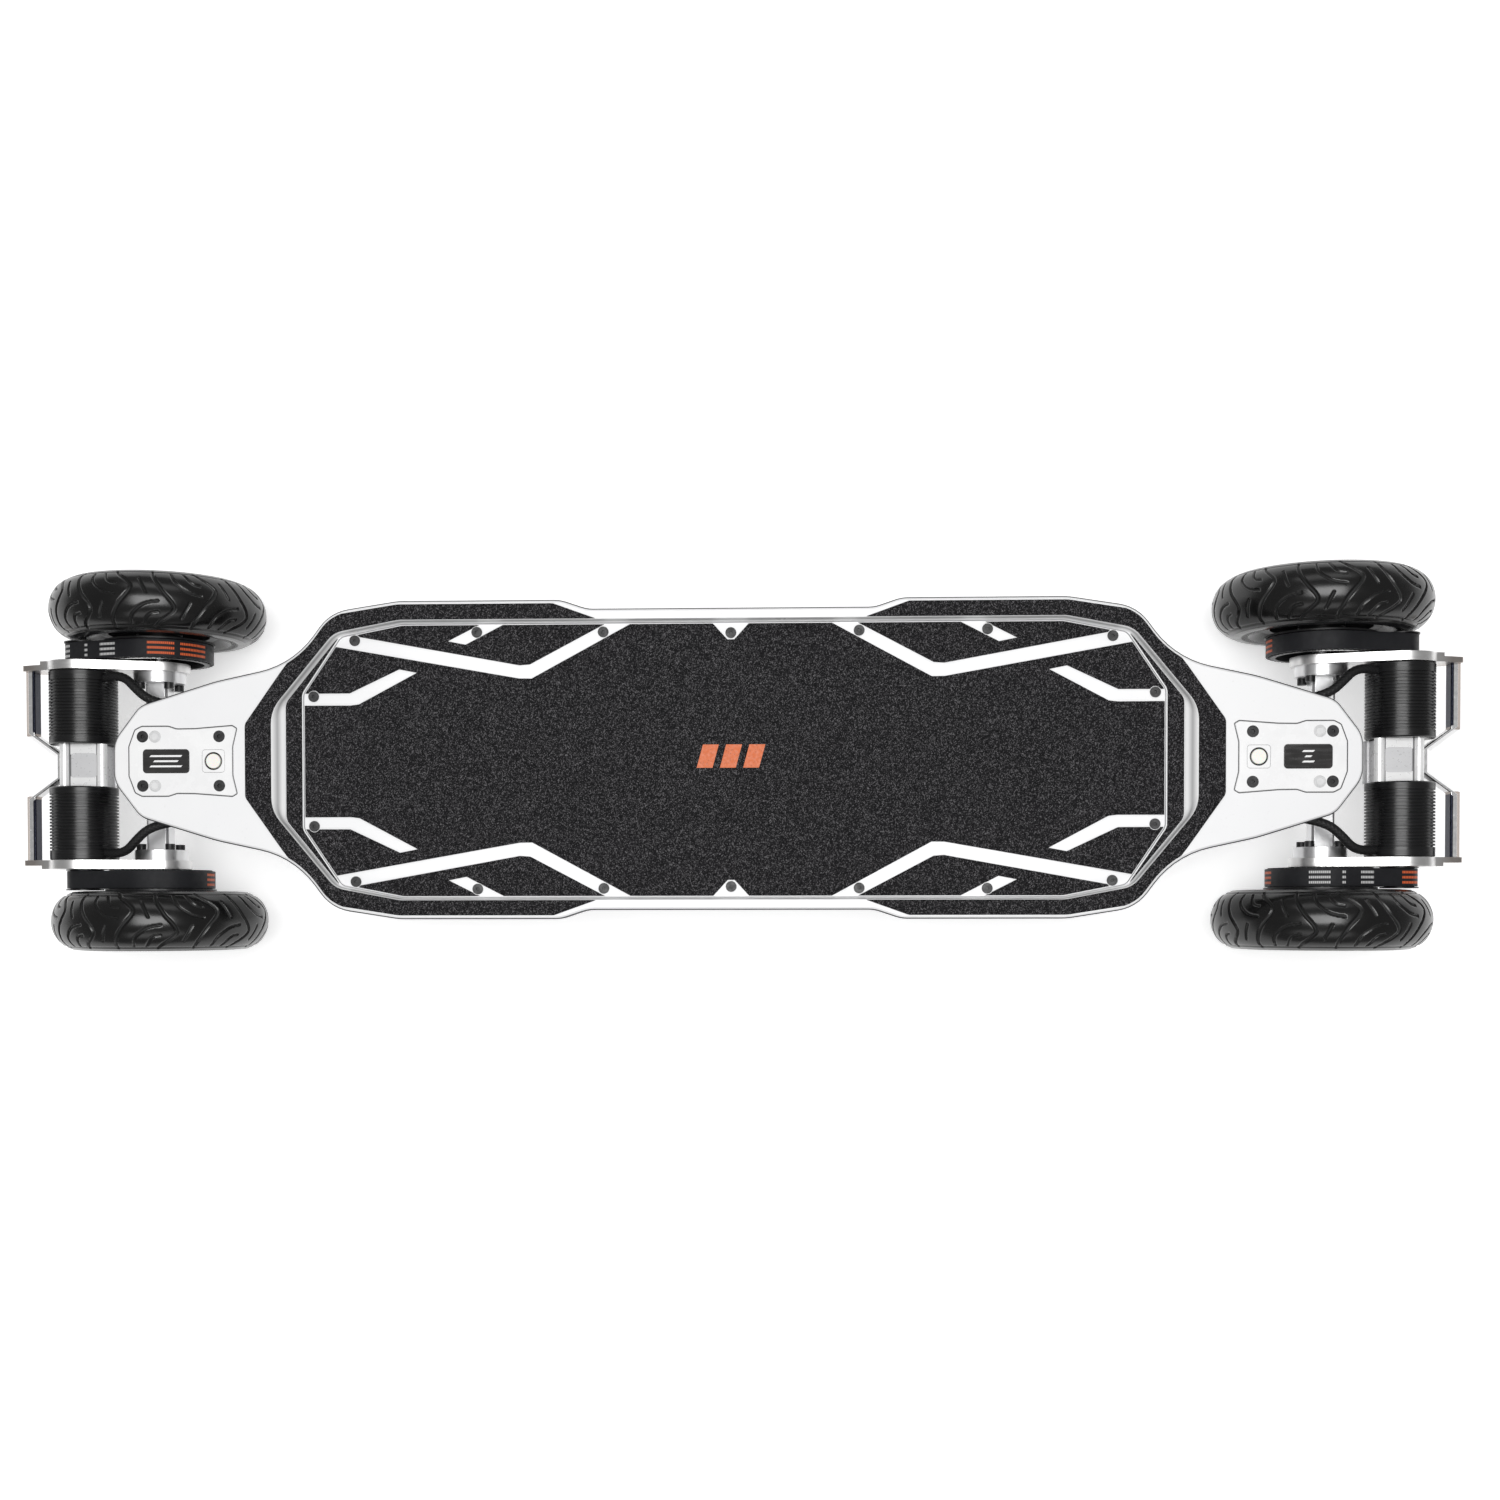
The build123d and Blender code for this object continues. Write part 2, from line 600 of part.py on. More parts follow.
CABLE_R = 3.6
CABLE_END_X = 392.3        # just short of the belly's front wall
CABLE_ROUTE = [(531.5, 71, 112.5), (515, 66.5, 121), (494, 59.5, 126.5), (468, 51.5, 129),
               (440, 45, 128.4), (414, 42.2, 128.8), (CABLE_END_X, 42, 129)]


def arc_radii(route):
    """The largest tangent arc that each inner corner of a route has room for."""
    radii = []
    for a, b, c in zip(route, route[1:], route[2:]):
        back, ahead = Vector(*a) - Vector(*b), Vector(*c) - Vector(*b)
        turn = math.radians(180 - back.get_angle(ahead))
        radii.append(0.45 * min(back.length, ahead.length) / math.tan(turn / 2))
    return radii


def make_cable():
    """One motor's braided phase lead, from the motor's end to the belly's front wall."""
    radii = arc_radii(CABLE_ROUTE)
    print("cable radii", [round(r, 1) for r in radii])
    path = FilletPolyline(*CABLE_ROUTE, radius=radii)
    start = Plane(origin=CABLE_ROUTE[0], z_dir=path % 0)
    tube = sweep(start * Circle(CABLE_R), path=path)
    print("cable volume over section times length", round(tube.volume / (math.pi * CABLE_R ** 2 * path.length), 4))
    return tube


# ---------------------------------------------------------------- wheel

def section_side(points):
    """The sidewall and shoulder of one side of a tyre section, from bead to tread."""
    bead, low, wide, high, shoulder = points
    return [ThreePointArc(bead, low, wide), ThreePointArc(wide, high, shoulder)]


def flipped(points):
    return [(r, -y) for r, y in points]


def make_tyre():
    """Hollow tyre: a crown, two sidewalls and a bead each side of the rim's barrel."""
    bead = RIM_HALF_W - 2
    lip = RIM_R + 3.8
    wide = TYRE_R - SECTION_H
    wall = 4.5
    outside = [(lip, bead), (55, 22.2), (wide, TYRE_HALF_W), (76.7, 22), (83.3, 16.6)]
    inside = [(RIM_R, bead - 6), (54, 17.2), (wide, TYRE_HALF_W - wall), (74, 17.6), (78.5, 12.4)]
    edges = section_side(outside) + section_side(inside)
    edges += section_side(flipped(outside)) + section_side(flipped(inside))
    edges.append(ThreePointArc(outside[-1], (TYRE_R, 0), flipped(outside)[-1]))
    edges.append(ThreePointArc(inside[-1], (TYRE_R - 7, 0), flipped(inside)[-1]))
    for side in (1, -1):
        edges.append(Line((lip, side * bead), (RIM_R, side * bead)))
        edges.append(Line((RIM_R, side * bead), (RIM_R, side * (bead - 6))))
    ring = revolve(make_face(edges), axis=Axis.Y)
    return Pos(AXLE_X, WHEEL_Y, AXLE_Z) * ring


def make_rim():
    """Spoked wheel: barrel with two bead flanges, hub with bearing seats, and five spokes."""
    low, high = WHEEL_Y - RIM_HALF_W, WHEEL_Y + RIM_HALF_W
    hub_high = WHEEL_Y + 15
    rim = y_rod(AXLE_X, AXLE_Z, RIM_R, low, high)
    rim += y_rod(AXLE_X, AXLE_Z, RIM_R + 3.5, low, low + 2)
    rim += y_rod(AXLE_X, AXLE_Z, RIM_R + 3.5, high - 2, high)
    rim -= y_rod(AXLE_X, AXLE_Z, RIM_R - 4, low - 1, high + 1)
    rim += y_rod(AXLE_X, AXLE_Z, 19, low, hub_high)
    spoke = make_face(Polyline((12, -7.5), (RIM_R - 2, -5), (RIM_R - 2, 5), (12, 7.5), close=True))
    for i in range(SPOKES):
        turned_spoke = Pos(AXLE_X, AXLE_Z) * Rot(0, 0, 90 + 360 * i / SPOKES) * spoke
        rim += y_slab(turned_spoke, WHEEL_Y - 4, WHEEL_Y + 12)
    rim -= y_rod(AXLE_X, AXLE_Z, 8, low - 1, high + 1)
    rim -= y_rod(AXLE_X, AXLE_Z, BEARING_R, low - 1, low + BEARING_W)
    rim -= y_rod(AXLE_X, AXLE_Z, BEARING_R, hub_high - BEARING_W, hub_high + 1)
    return rim


def make_wheel_pulley():
    """Toothed ring with an outer flange and a holed web, on a sleeve against the wheel's hub."""
    low, high = BELT_Y[0] - 0.8, BELT_Y[1] + 0.5
    web = high - 5
    ring = Pos(AXLE_X, 0, AXLE_Z) * y_slab(toothed(WHEEL_TIP_R, WHEEL_TEETH), low, high)
    ring += y_rod(AXLE_X, AXLE_Z, WHEEL_TIP_R + 3.4, high, high + 1.5)
    ring -= y_rod(AXLE_X, AXLE_Z, WHEEL_TIP_R - 5.5, low - 1, web)
    ring += y_rod(AXLE_X, AXLE_Z, 18, high, WHEEL_Y - RIM_HALF_W)
    ring -= y_rod(AXLE_X, AXLE_Z, 9.5, low - 1, WHEEL_Y)
    for i in range(SPOKES):
        angle = math.radians(90 + 36 + 72 * i)
        ring -= y_rod(AXLE_X + 27 * math.cos(angle), AXLE_Z + 27 * math.sin(angle), 6.5, low - 1, WHEEL_Y)
    return ring


def make_bearing(y_low):
    ring = y_rod(AXLE_X, AXLE_Z, BEARING_R - RUN_GAP, y_low, y_low + BEARING_W)
    return ring - y_rod(AXLE_X, AXLE_Z, AXLE_R, y_low - 1, y_low + BEARING_W + 1)


# ---------------------------------------------------------------- everything, node by node

save("deck_shell", make_shell())
save("deck_lid", make_lid())
save("lid_gasket", make_gasket())
save("lid_grip", make_lid_grip())
save("deck_grips", make_deck_grips())
save("lid_screws", lid_screws)
save("truck_bolts", truck_bolts)

nose_plate = make_nose_plate()
badge = make_badge()
plugs = both_sides(make_plug(BOLT_Y))
bezel = make_bezel()
save("nose_plates", [nose_plate, turned(nose_plate)])
save("nose_badges", [badge, turned(badge)])
save("nose_plugs", plugs + [turned(p) for p in plugs])
save("button_bezels", [bezel, turned(bezel)])

button = make_button()
save("front_button", button)
save("rear_button", turned(button))

save("battery_pack", make_battery())
save("battery_manager", make_bms())
controller = make_controller()
save("motor_controllers", [controller, turned(controller)])

base = make_truck_base()
king_bolt = make_king_bolt()
save("king_bolts", king_bolt + [turned(s) for s in king_bolt])
damper_pair = both_sides(make_damper())
hanger = make_hanger()
axle = make_axle()
axle_nuts = both_sides(make_axle_nut())
mount_plates = both_sides(make_mount_plate())
bumper = make_bumper()
bridge = make_bridge()
motor_pair = both_sides(make_motor())
belt_pair = both_sides(make_belt())
cable_pair = both_sides(make_cable())
bolts = [motor_bolt(x, z) for x, z in motor_bolt_places] + [flange_bolt(x, z) for x, z in flange_bolt_places]
bolts += [mirrored(b) for b in bolts]
bearing_pair = [make_bearing(WHEEL_Y - RIM_HALF_W), make_bearing(WHEEL_Y + 15 - BEARING_W)]
bearings = bearing_pair + [mirrored(b) for b in bearing_pair]
truck_nodes = {
    "truck_base": base, "steering_dampers": damper_pair, "hanger": hanger, "axle": axle,
    "axle_nuts": axle_nuts, "motor_plates": mount_plates, "bumper": bumper, "motor_bridge": bridge,
    "motors": motor_pair, "belts": belt_pair, "phase_cables": cable_pair, "plate_bolts": bolts,
    "wheel_bearings": bearings}
for name, shapes in truck_nodes.items():
    group = shapes if isinstance(shapes, list) else [shapes]
    save(f"front_{name}", group)
    save(f"rear_{name}", [turned(s) for s in group])

corner_nodes = {"tyre": make_tyre(), "rim": make_rim(), "wheel_pulley": make_wheel_pulley(),
                "motor_pulley": make_motor_pulley()}
for name, shapes in corner_nodes.items():
    group = shapes if isinstance(shapes, list) else [shapes]
    save(f"front_left_{name}", group)
    save(f"front_right_{name}", [mirrored(s) for s in group])
    save(f"rear_right_{name}", [turned(s) for s in group])
    save(f"rear_left_{name}", [turned(mirrored(s)) for s in group])
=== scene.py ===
import math

import bpy
import numpy as np
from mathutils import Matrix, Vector


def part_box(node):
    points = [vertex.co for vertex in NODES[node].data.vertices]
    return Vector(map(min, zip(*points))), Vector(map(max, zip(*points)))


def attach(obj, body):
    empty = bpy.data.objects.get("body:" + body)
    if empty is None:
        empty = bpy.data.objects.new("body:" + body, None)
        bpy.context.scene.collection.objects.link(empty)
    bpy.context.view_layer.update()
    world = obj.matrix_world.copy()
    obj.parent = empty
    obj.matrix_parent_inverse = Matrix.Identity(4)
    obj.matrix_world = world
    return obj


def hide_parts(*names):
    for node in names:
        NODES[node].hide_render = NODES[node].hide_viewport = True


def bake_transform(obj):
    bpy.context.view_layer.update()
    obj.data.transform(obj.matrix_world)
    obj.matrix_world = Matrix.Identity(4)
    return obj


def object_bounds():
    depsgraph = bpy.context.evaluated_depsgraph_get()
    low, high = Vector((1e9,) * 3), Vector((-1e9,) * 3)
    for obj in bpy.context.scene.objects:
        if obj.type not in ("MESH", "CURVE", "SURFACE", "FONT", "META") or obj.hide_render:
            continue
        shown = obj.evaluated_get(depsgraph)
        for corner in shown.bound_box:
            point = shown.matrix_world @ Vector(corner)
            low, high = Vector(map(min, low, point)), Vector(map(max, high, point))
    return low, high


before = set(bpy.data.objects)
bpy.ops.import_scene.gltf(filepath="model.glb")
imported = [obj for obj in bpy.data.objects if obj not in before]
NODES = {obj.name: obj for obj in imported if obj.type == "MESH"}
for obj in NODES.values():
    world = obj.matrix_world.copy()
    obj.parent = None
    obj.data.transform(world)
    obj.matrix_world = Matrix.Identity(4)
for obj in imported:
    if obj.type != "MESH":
        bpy.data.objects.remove(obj)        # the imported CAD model; its places and meshes stay as they are
cad_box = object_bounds()

# An electric skateboard, built round its CAD model. X runs along the board with the front at
# +X, Y is across it with the left at +Y, and Z is up. Everything is in metres. Both trucks and
# all four corners are alike, so each of their pieces is made by a loop over these signs.
ENDS = {"front": 1, "rear": -1}
SIDES = {"left": 1, "right": -1}
MM = 0.001


def corners():
    """Every corner's name with its signs along X and Y."""
    return [(f"{end}_{side}", sx, sy) for end, sx in ENDS.items() for side, sy in SIDES.items()]


def centre(node):
    low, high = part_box(node)
    return (low + high) / 2


def size(node):
    low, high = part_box(node)
    return high - low


# ---------------------------------------------------------------- materials

class Surface:
    """A Principled material being made. Each method adds a node and returns its output."""

    def __init__(self, name, colour, roughness, **constants):
        self.material = bpy.data.materials.new(name)
        self.material.use_nodes = True
        self.material.diffuse_color = (*colour, 1)
        self.tree = self.material.node_tree
        self.shader = self.tree.nodes["Principled BSDF"]
        self.shader.inputs["Base Color"].default_value = (*colour, 1)
        self.shader.inputs["Roughness"].default_value = roughness
        for socket, value in constants.items():
            self.shader.inputs[socket.replace("_", " ")].default_value = value

    def feed(self, socket, value):
        if isinstance(value, bpy.types.NodeSocket):
            self.tree.links.new(value, socket)
        else:
            socket.default_value = value

    def node(self, kind, inputs, **settings):
        made = self.tree.nodes.new(kind)
        for key, value in settings.items():
            setattr(made, key, value)
        for key, value in inputs.items():
            self.feed(made.inputs[key], value)
        return made

    def place(self, stretch=(1, 1, 1)):
        """The point on the object, stretched along each axis."""
        point = self.tree.nodes.new("ShaderNodeTexCoord").outputs["Object"]
        return self.node("ShaderNodeMapping", {"Vector": point, "Scale": stretch}).outputs[0]

    def axis(self, letter):
        point = self.tree.nodes.new("ShaderNodeTexCoord").outputs["Object"]
        return self.node("ShaderNodeSeparateXYZ", {0: point}).outputs[letter]

    def value(self, name):
        """A number stored at each point of the mesh."""
        return self.node("ShaderNodeAttribute", {}, attribute_name=name).outputs["Fac"]

    def noise(self, scale, detail=3.0, roughness=0.5, stretch=(1, 1, 1)):
        inputs = {"Vector": self.place(stretch), "Scale": scale, "Detail": detail, "Roughness": roughness}
        return self.node("ShaderNodeTexNoise", inputs).outputs["Fac"]

    def cells(self, scale, output="Distance", stretch=(1, 1, 1)):
        inputs = {"Vector": self.place(stretch), "Scale": scale}
        return self.node("ShaderNodeTexVoronoi", inputs).outputs[output]

    def spread(self, value, low, high, to_low=0.0, to_high=1.0):
        """value taken from low..high to to_low..to_high, and held there outside it."""
        inputs = {"Value": value, "From Min": low, "From Max": high, "To Min": to_low, "To Max": to_high}
        return self.node("ShaderNodeMapRange", inputs).outputs[0]

    def maths(self, operation, a, b=0.0):
        return self.node("ShaderNodeMath", {0: a, 1: b}, operation=operation).outputs[0]

    def times(self, a, b):
        return self.maths("MULTIPLY", a, b)

    def reach(self, letter):
        """How far the point is from the board's middle along an axis."""
        return self.maths("ABSOLUTE", self.axis(letter))

    def band(self, value, low, high, blur):
        """1 where value is between two limits, fading out within the blur past each."""
        return self.times(self.spread(value, low - blur, low), self.spread(value, high, high + blur, 1, 0))

    def mix(self, share, a, b):
        """Colour a where share is 0 and colour b where it is 1."""
        first, second = ((*c, 1) if isinstance(c, tuple) else c for c in (a, b))
        return self.node("ShaderNodeMix", {0: share, 6: first, 7: second}, data_type="RGBA").outputs[2]

    def soft_edges(self, radius):
        return self.node("ShaderNodeBevel", {"Radius": radius}, samples=4).outputs[0]

    def relief(self, height, depth, under=None):
        """A bump of that depth in metres, over another one if given."""
        inputs = {"Height": height, "Distance": depth, "Strength": 1.0}
        if under is not None:
            inputs["Normal"] = under
        return self.node("ShaderNodeBump", inputs).outputs[0]

    def colour(self, socket):
        self.feed(self.shader.inputs["Base Color"], socket)

    def roughness(self, socket):
        self.feed(self.shader.inputs["Roughness"], socket)

    def normal(self, socket):
        self.feed(self.shader.inputs["Normal"], socket)


def shell_finish():
    """White paint on top, a painted highlight and a painted grey shade band on the slope down to the lid,
    and dark composite from the edge down.
    """
    s = Surface("shell", (0.80, 0.80, 0.81), 0.34, Coat_Weight=0.15, Coat_Roughness=0.12)
    white = s.mix(s.spread(s.noise(5, 4), 0.35, 0.65), (0.805, 0.807, 0.817), (0.845, 0.845, 0.85))
    dusty = s.mix(s.spread(s.noise(420, 2), 0.66, 0.8, 0, 0.25), white, (0.62, 0.61, 0.60))
    normal = s.tree.nodes.new("ShaderNodeNewGeometry").outputs["Normal"]
    outward = s.node("ShaderNodeVectorMath", {0: normal, 1: s.place((1, 1, 0))},
                     operation="DOT_PRODUCT").outputs["Value"]
    z = s.axis("Z")
    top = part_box("deck_shell")[1].z
    climb = s.spread(z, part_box("deck_lid")[1].z, top)        # 0 at the lid and 1 at the deck's top
    # painted light on the slope down to the lid: near-white painted highlight, with a painted grey shade
    # band along its middle
    slope = s.times(s.spread(outward, -0.02, -0.005, 1, 0), s.spread(climb, 0.03, 0.06))
    shade = s.times(slope, s.times(s.spread(climb, 0.25, 0.55), s.spread(climb, 0.6, 0.95, 1, 0)))
    paint = s.mix(shade, s.mix(slope, dusty, (0.97, 0.97, 0.97)), (0.50, 0.50, 0.505))
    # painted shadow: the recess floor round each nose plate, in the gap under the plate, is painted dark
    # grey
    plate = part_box("nose_plates")[1]
    near_plate = s.times(s.spread(s.reach("X"), plate.x - 100 * MM, plate.x - 99 * MM),
                         s.spread(s.reach("Y"), plate.y + 3 * MM, plate.y + 4 * MM, 1, 0))
    recess = s.times(s.spread(z, top - 1.2 * MM, top - 0.9 * MM, 1, 0), near_plate)
    paint = s.mix(recess, paint, (0.10, 0.10, 0.105))
    edge = s.times(s.spread(z, top - 1.3 * MM, top - 1.1 * MM, 1, 0), s.spread(outward, 0.005, 0.02))
    below = s.spread(z, top - 17 * MM, top - 16.5 * MM, 1, 0)
    dark = s.mix(s.noise(260, 4), (0.030, 0.031, 0.034), (0.062, 0.063, 0.068))
    s.colour(s.mix(s.maths("MAXIMUM", edge, below), paint, dark))
    s.roughness(s.spread(s.noise(60, 4), 0.3, 0.7, 0.27, 0.42))
    s.normal(s.relief(s.noise(900, 2), 0.02 * MM, s.soft_edges(0.5 * MM)))
    return s.material


def lid_finish():
    """White powder coat with its fine orange peel."""
    s = Surface("lid", (0.83, 0.83, 0.84), 0.32, Coat_Weight=0.2, Coat_Roughness=0.15)
    s.colour(s.mix(s.spread(s.noise(9, 4), 0.35, 0.65), (0.80, 0.80, 0.81), (0.85, 0.85, 0.855)))
    s.roughness(s.spread(s.noise(40, 3), 0.3, 0.7, 0.26, 0.4))
    s.normal(s.relief(s.cells(650), 0.03 * MM, s.soft_edges(0.3 * MM)))
    return s.material


def plate_finish():
    s = Surface("plate", (0.86, 0.86, 0.865), 0.25, Coat_Weight=0.3, Coat_Roughness=0.1)
    s.colour(s.mix(s.spread(s.noise(30, 4), 0.35, 0.65), (0.84, 0.84, 0.845), (0.88, 0.88, 0.88)))
    s.roughness(s.spread(s.noise(120, 3), 0.3, 0.7, 0.2, 0.32))
    s.normal(s.relief(s.noise(700, 2), 0.012 * MM, s.soft_edges(0.35 * MM)))
    return s.material


def grip_finish():
    """Black mineral grip: a dense field of charcoal grains, the odd one brighter."""
    s = Surface("grip", (0.02, 0.02, 0.021), 0.85, Specular_IOR_Level=0.15)
    grains = s.node("ShaderNodeSeparateColor", {0: s.cells(1500, "Color")}).outputs
    clumps = s.spread(s.noise(330, 3, 0.6), 0.3, 0.7)
    field = s.mix(grains[0], (0.002, 0.002, 0.0025), (0.013, 0.0125, 0.014))
    bright = s.times(s.spread(grains[1], 0.62, 0.98), s.spread(clumps, 0.1, 0.8, 0.35, 1))
    s.colour(s.mix(bright, field, (0.14, 0.136, 0.142)))
    s.roughness(s.spread(grains[2], 0.0, 1.0, 0.95, 0.7))
    s.normal(s.relief(s.maths("ADD", grains[1], s.noise(1500, 3)), 0.12 * MM))
    return s.material


def rubber_finish():
    s = Surface("rubber", (0.022, 0.022, 0.023), 0.62)
    s.colour(s.mix(s.noise(90, 5), (0.014, 0.014, 0.015), (0.034, 0.033, 0.033)))
    s.roughness(s.spread(s.noise(200, 3), 0.3, 0.7, 0.52, 0.72))
    s.normal(s.relief(s.noise(1400, 3), 0.05 * MM))
    return s.material


def tyre_finish():
    """Moulded rubber with a soft gloss, painted shade making it darker low in the grooves, and duller
    there.
    """
    s = Surface("tyre", (0.002, 0.002, 0.002), 0.26, Specular_IOR_Level=0.5)
    patches = s.spread(s.noise(22, 5, 0.6), 0.3, 0.7)
    rubber = s.mix(patches, (0.0012, 0.0012, 0.0012), (0.003, 0.0028, 0.0027))
    low = s.spread(s.value("groove"), 0.2, 0.9)
    # painted shade: the rubber is made darker low in the grooves
    s.colour(s.mix(low, rubber, (0.0008, 0.0008, 0.0008)))
    worn = s.spread(s.noise(70, 5, 0.65, (1, 2.4, 1)), 0.3, 0.7, 0.20, 0.28)
    s.roughness(s.maths("MAXIMUM", worn, s.spread(low, 0, 1, 0.2, 0.6)))
    s.normal(s.relief(s.noise(1100, 4), 0.008 * MM))
    return s.material


def silver_finish():
    """Bead-blasted aluminium with a clear anodised skin."""
    s = Surface("silver", (0.79, 0.79, 0.80), 0.3, Metallic=1.0)
    s.colour(s.mix(s.spread(s.noise(35, 5), 0.3, 0.7), (0.775, 0.775, 0.785), (0.81, 0.81, 0.815)))
    s.roughness(s.spread(s.noise(300, 4), 0.25, 0.75, 0.28, 0.34))
    s.normal(s.relief(s.noise(1600, 3), 0.004 * MM, s.soft_edges(0.5 * MM)))
    return s.material


def milled_finish():
    """Milled aluminium with fine lines in its gloss, turning bronze toward the bumper."""
    s = Surface("milled", (0.8, 0.79, 0.78), 0.26, Metallic=1.0)
    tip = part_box("front_motor_plates")[1].x
    bright = s.mix(s.spread(s.noise(30, 4), 0.3, 0.7), (0.76, 0.755, 0.75), (0.86, 0.855, 0.85))
    bronze = s.spread(s.reach("X"), tip - 26 * MM, tip - 10 * MM, 0, 0.75)
    s.colour(s.mix(bronze, bright, (0.42, 0.36, 0.32)))
    s.roughness(s.spread(s.noise(420, 3, 0.5, (0.15, 1, 1)), 0.25, 0.75, 0.28, 0.38))
    s.normal(s.soft_edges(0.5 * MM))
    return s.material


def bumper_finish():
    """Polished top, a bronze bevel along the outside, and a dark blue inner edge and face."""
    s = Surface("bumper", (0.8, 0.8, 0.8), 0.22, Metallic=1.0)
    far = s.reach("X")
    across = s.reach("Y")
    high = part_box("front_bumper")[1]
    # The bar's outer line is straight across the end, and from this corner it slants in toward the
    # middle. What matters is how far a point lies inside that line.
    corner = Vector((high.x, 26 * MM))
    inward = Vector((-18.0, 24.5)).normalized()        # square to the slanted stretch
    along_inward = s.maths("ADD", s.times(far, inward.x), s.times(across, inward.y))
    inside_slant = s.maths("SUBTRACT", along_inward, corner.dot(inward))
    inset = s.maths("MINIMUM", s.maths("SUBTRACT", high.x, far), inside_slant)
    dark = s.times(s.spread(across, 9 * MM, 9.5 * MM), s.spread(inset, 6.6 * MM, 6.9 * MM))
    bevel = s.times(s.spread(s.axis("Z"), high.z - 0.35 * MM, high.z - 0.15 * MM, 1, 0),
                    s.spread(across, corner.y - MM, corner.y))
    bright = s.mix(s.spread(s.noise(60, 4), 0.3, 0.7), (0.84, 0.84, 0.845), (0.88, 0.88, 0.88))
    s.colour(s.mix(dark, s.mix(bevel, bright, (0.36, 0.31, 0.28)), (0.030, 0.033, 0.050)))
    s.roughness(s.spread(s.noise(300, 4), 0.25, 0.75, 0.2, 0.28))
    s.normal(s.soft_edges(0.4 * MM))
    return s.material


BRIDGE_SHIFT = 3.5 * MM      # the shown block is this much nearer the board's middle than the CAD's
BRIDGE_DROP = 9 * MM         # and its top face this much lower
RAIL_R = 4.2 * MM            # the two round rails beside the top face
PANEL_DEPTH = 1.5 * MM


def bridge_finish():
    """Bright satin aluminium: painted shadow lines beside the rails, and painted shade making the recessed
    panel grey.
    """
    s = Surface("bridge", (0.85, 0.85, 0.85), 0.3, Metallic=0.25)
    low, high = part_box("front_motor_bridge")
    middle = (low.x + high.x) / 2 - BRIDGE_SHIFT
    beside = s.maths("ABSOLUTE", s.maths("SUBTRACT", s.reach("X"), middle))
    rail_edge = (high.x - low.x) / 2 - 2 * RAIL_R
    # painted shadow: dark lines beside the rails
    line = s.times(s.spread(beside, rail_edge - 0.9 * MM, rail_edge - 0.7 * MM),
                   s.spread(beside, rail_edge + 0.1 * MM, rail_edge + 0.4 * MM, 1, 0))
    # painted shade: the floor of the recessed panel is painted grey
    panel_z = high.z - BRIDGE_DROP - PANEL_DEPTH
    panel = s.spread(s.axis("Z"), panel_z + 0.2 * MM, panel_z + 0.4 * MM, 1, 0)
    bright = s.mix(s.spread(s.noise(35, 4), 0.3, 0.7), (0.90, 0.90, 0.90), (0.93, 0.93, 0.93))
    s.colour(s.mix(line, s.mix(panel, bright, (0.66, 0.66, 0.67)), (0.20, 0.20, 0.205)))
    s.roughness(s.spread(s.noise(300, 4), 0.25, 0.75, 0.26, 0.32))
    s.normal(s.relief(s.noise(1600, 3), 0.003 * MM))
    return s.material


def steel_finish():
    s = Surface("steel", (0.56, 0.56, 0.57), 0.28, Metallic=1.0)
    s.colour(s.mix(s.noise(120, 4), (0.46, 0.46, 0.47), (0.64, 0.64, 0.65)))
    s.roughness(s.spread(s.noise(500, 3), 0.3, 0.7, 0.2, 0.38))
    s.normal(s.relief(s.noise(900, 2), 0.015 * MM, s.soft_edges(0.3 * MM)))
    return s.material


def black_steel_finish():
    """Black oxide, rubbed a little brighter where the noise is high."""
    s = Surface("black_steel", (0.012, 0.012, 0.013), 0.38, Specular_IOR_Level=0.4)
    s.colour(s.mix(s.spread(s.noise(350, 4), 0.4, 0.7), (0.006, 0.006, 0.0065), (0.022, 0.022, 0.024)))
    s.roughness(s.spread(s.noise(260, 3), 0.3, 0.7, 0.3, 0.5))
    s.normal(s.relief(s.noise(1300, 2), 0.02 * MM, s.soft_edges(0.25 * MM)))
    return s.material


def motor_finish():
    """Black anodised turned aluminium: fine lathe lines round the can."""
    s = Surface("motor_black", (0.006, 0.006, 0.006), 0.3, Specular_IOR_Level=0.4)
    s.colour(s.mix(s.noise(80, 4), (0.003, 0.003, 0.003), (0.008, 0.008, 0.009)))
    s.roughness(s.spread(s.noise(900, 3, 0.5, (0.03, 1, 0.03)), 0.3, 0.7, 0.22, 0.36))
    s.normal(s.relief(s.noise(1500, 2, 0.5, (0.02, 1, 0.02)), 0.012 * MM, s.soft_edges(0.25 * MM)))
    return s.material


def anodised_finish(name):
    """Black hard-anodised aluminium with a dry, slightly mottled skin."""
    s = Surface(name, (0.01, 0.01, 0.011), 0.36, Specular_IOR_Level=0.4)
    s.colour(s.mix(s.noise(140, 5), (0.005, 0.005, 0.0055), (0.014, 0.014, 0.015)))
    s.roughness(s.spread(s.noise(240, 4), 0.3, 0.7, 0.28, 0.45))
    s.normal(s.relief(s.noise(1200, 2), 0.02 * MM, s.soft_edges(0.3 * MM)))
    return s.material


def dashes(s, run, across, block, rows=3, row_pitch=4.2 * MM, dash=1.5 * MM):
    """1 on rows of short dashes, where the belt's run is between the block's two lengths in mm."""
    start, stop = (edge * MM for edge in block)
    inside = s.band(run, start, stop, 0.1 * MM)
    printed_half = rows * row_pitch / 2
    on_back = s.times(s.spread(s.value("back"), 0.9, 0.97),
                      s.spread(s.maths("ABSOLUTE", across), printed_half, printed_half + 0.1 * MM, 1, 0))
    row = s.maths("FRACT", s.maths("ADD", s.maths("DIVIDE", across, row_pitch), rows / 2))
    tall = s.band(row, 0.28, 0.72, 0.04)
    wide = s.spread(s.maths("FRACT", s.maths("DIVIDE", run, dash)), 0.70, 0.74, 1, 0)
    return s.times(s.times(inside, on_back), s.times(tall, wide))


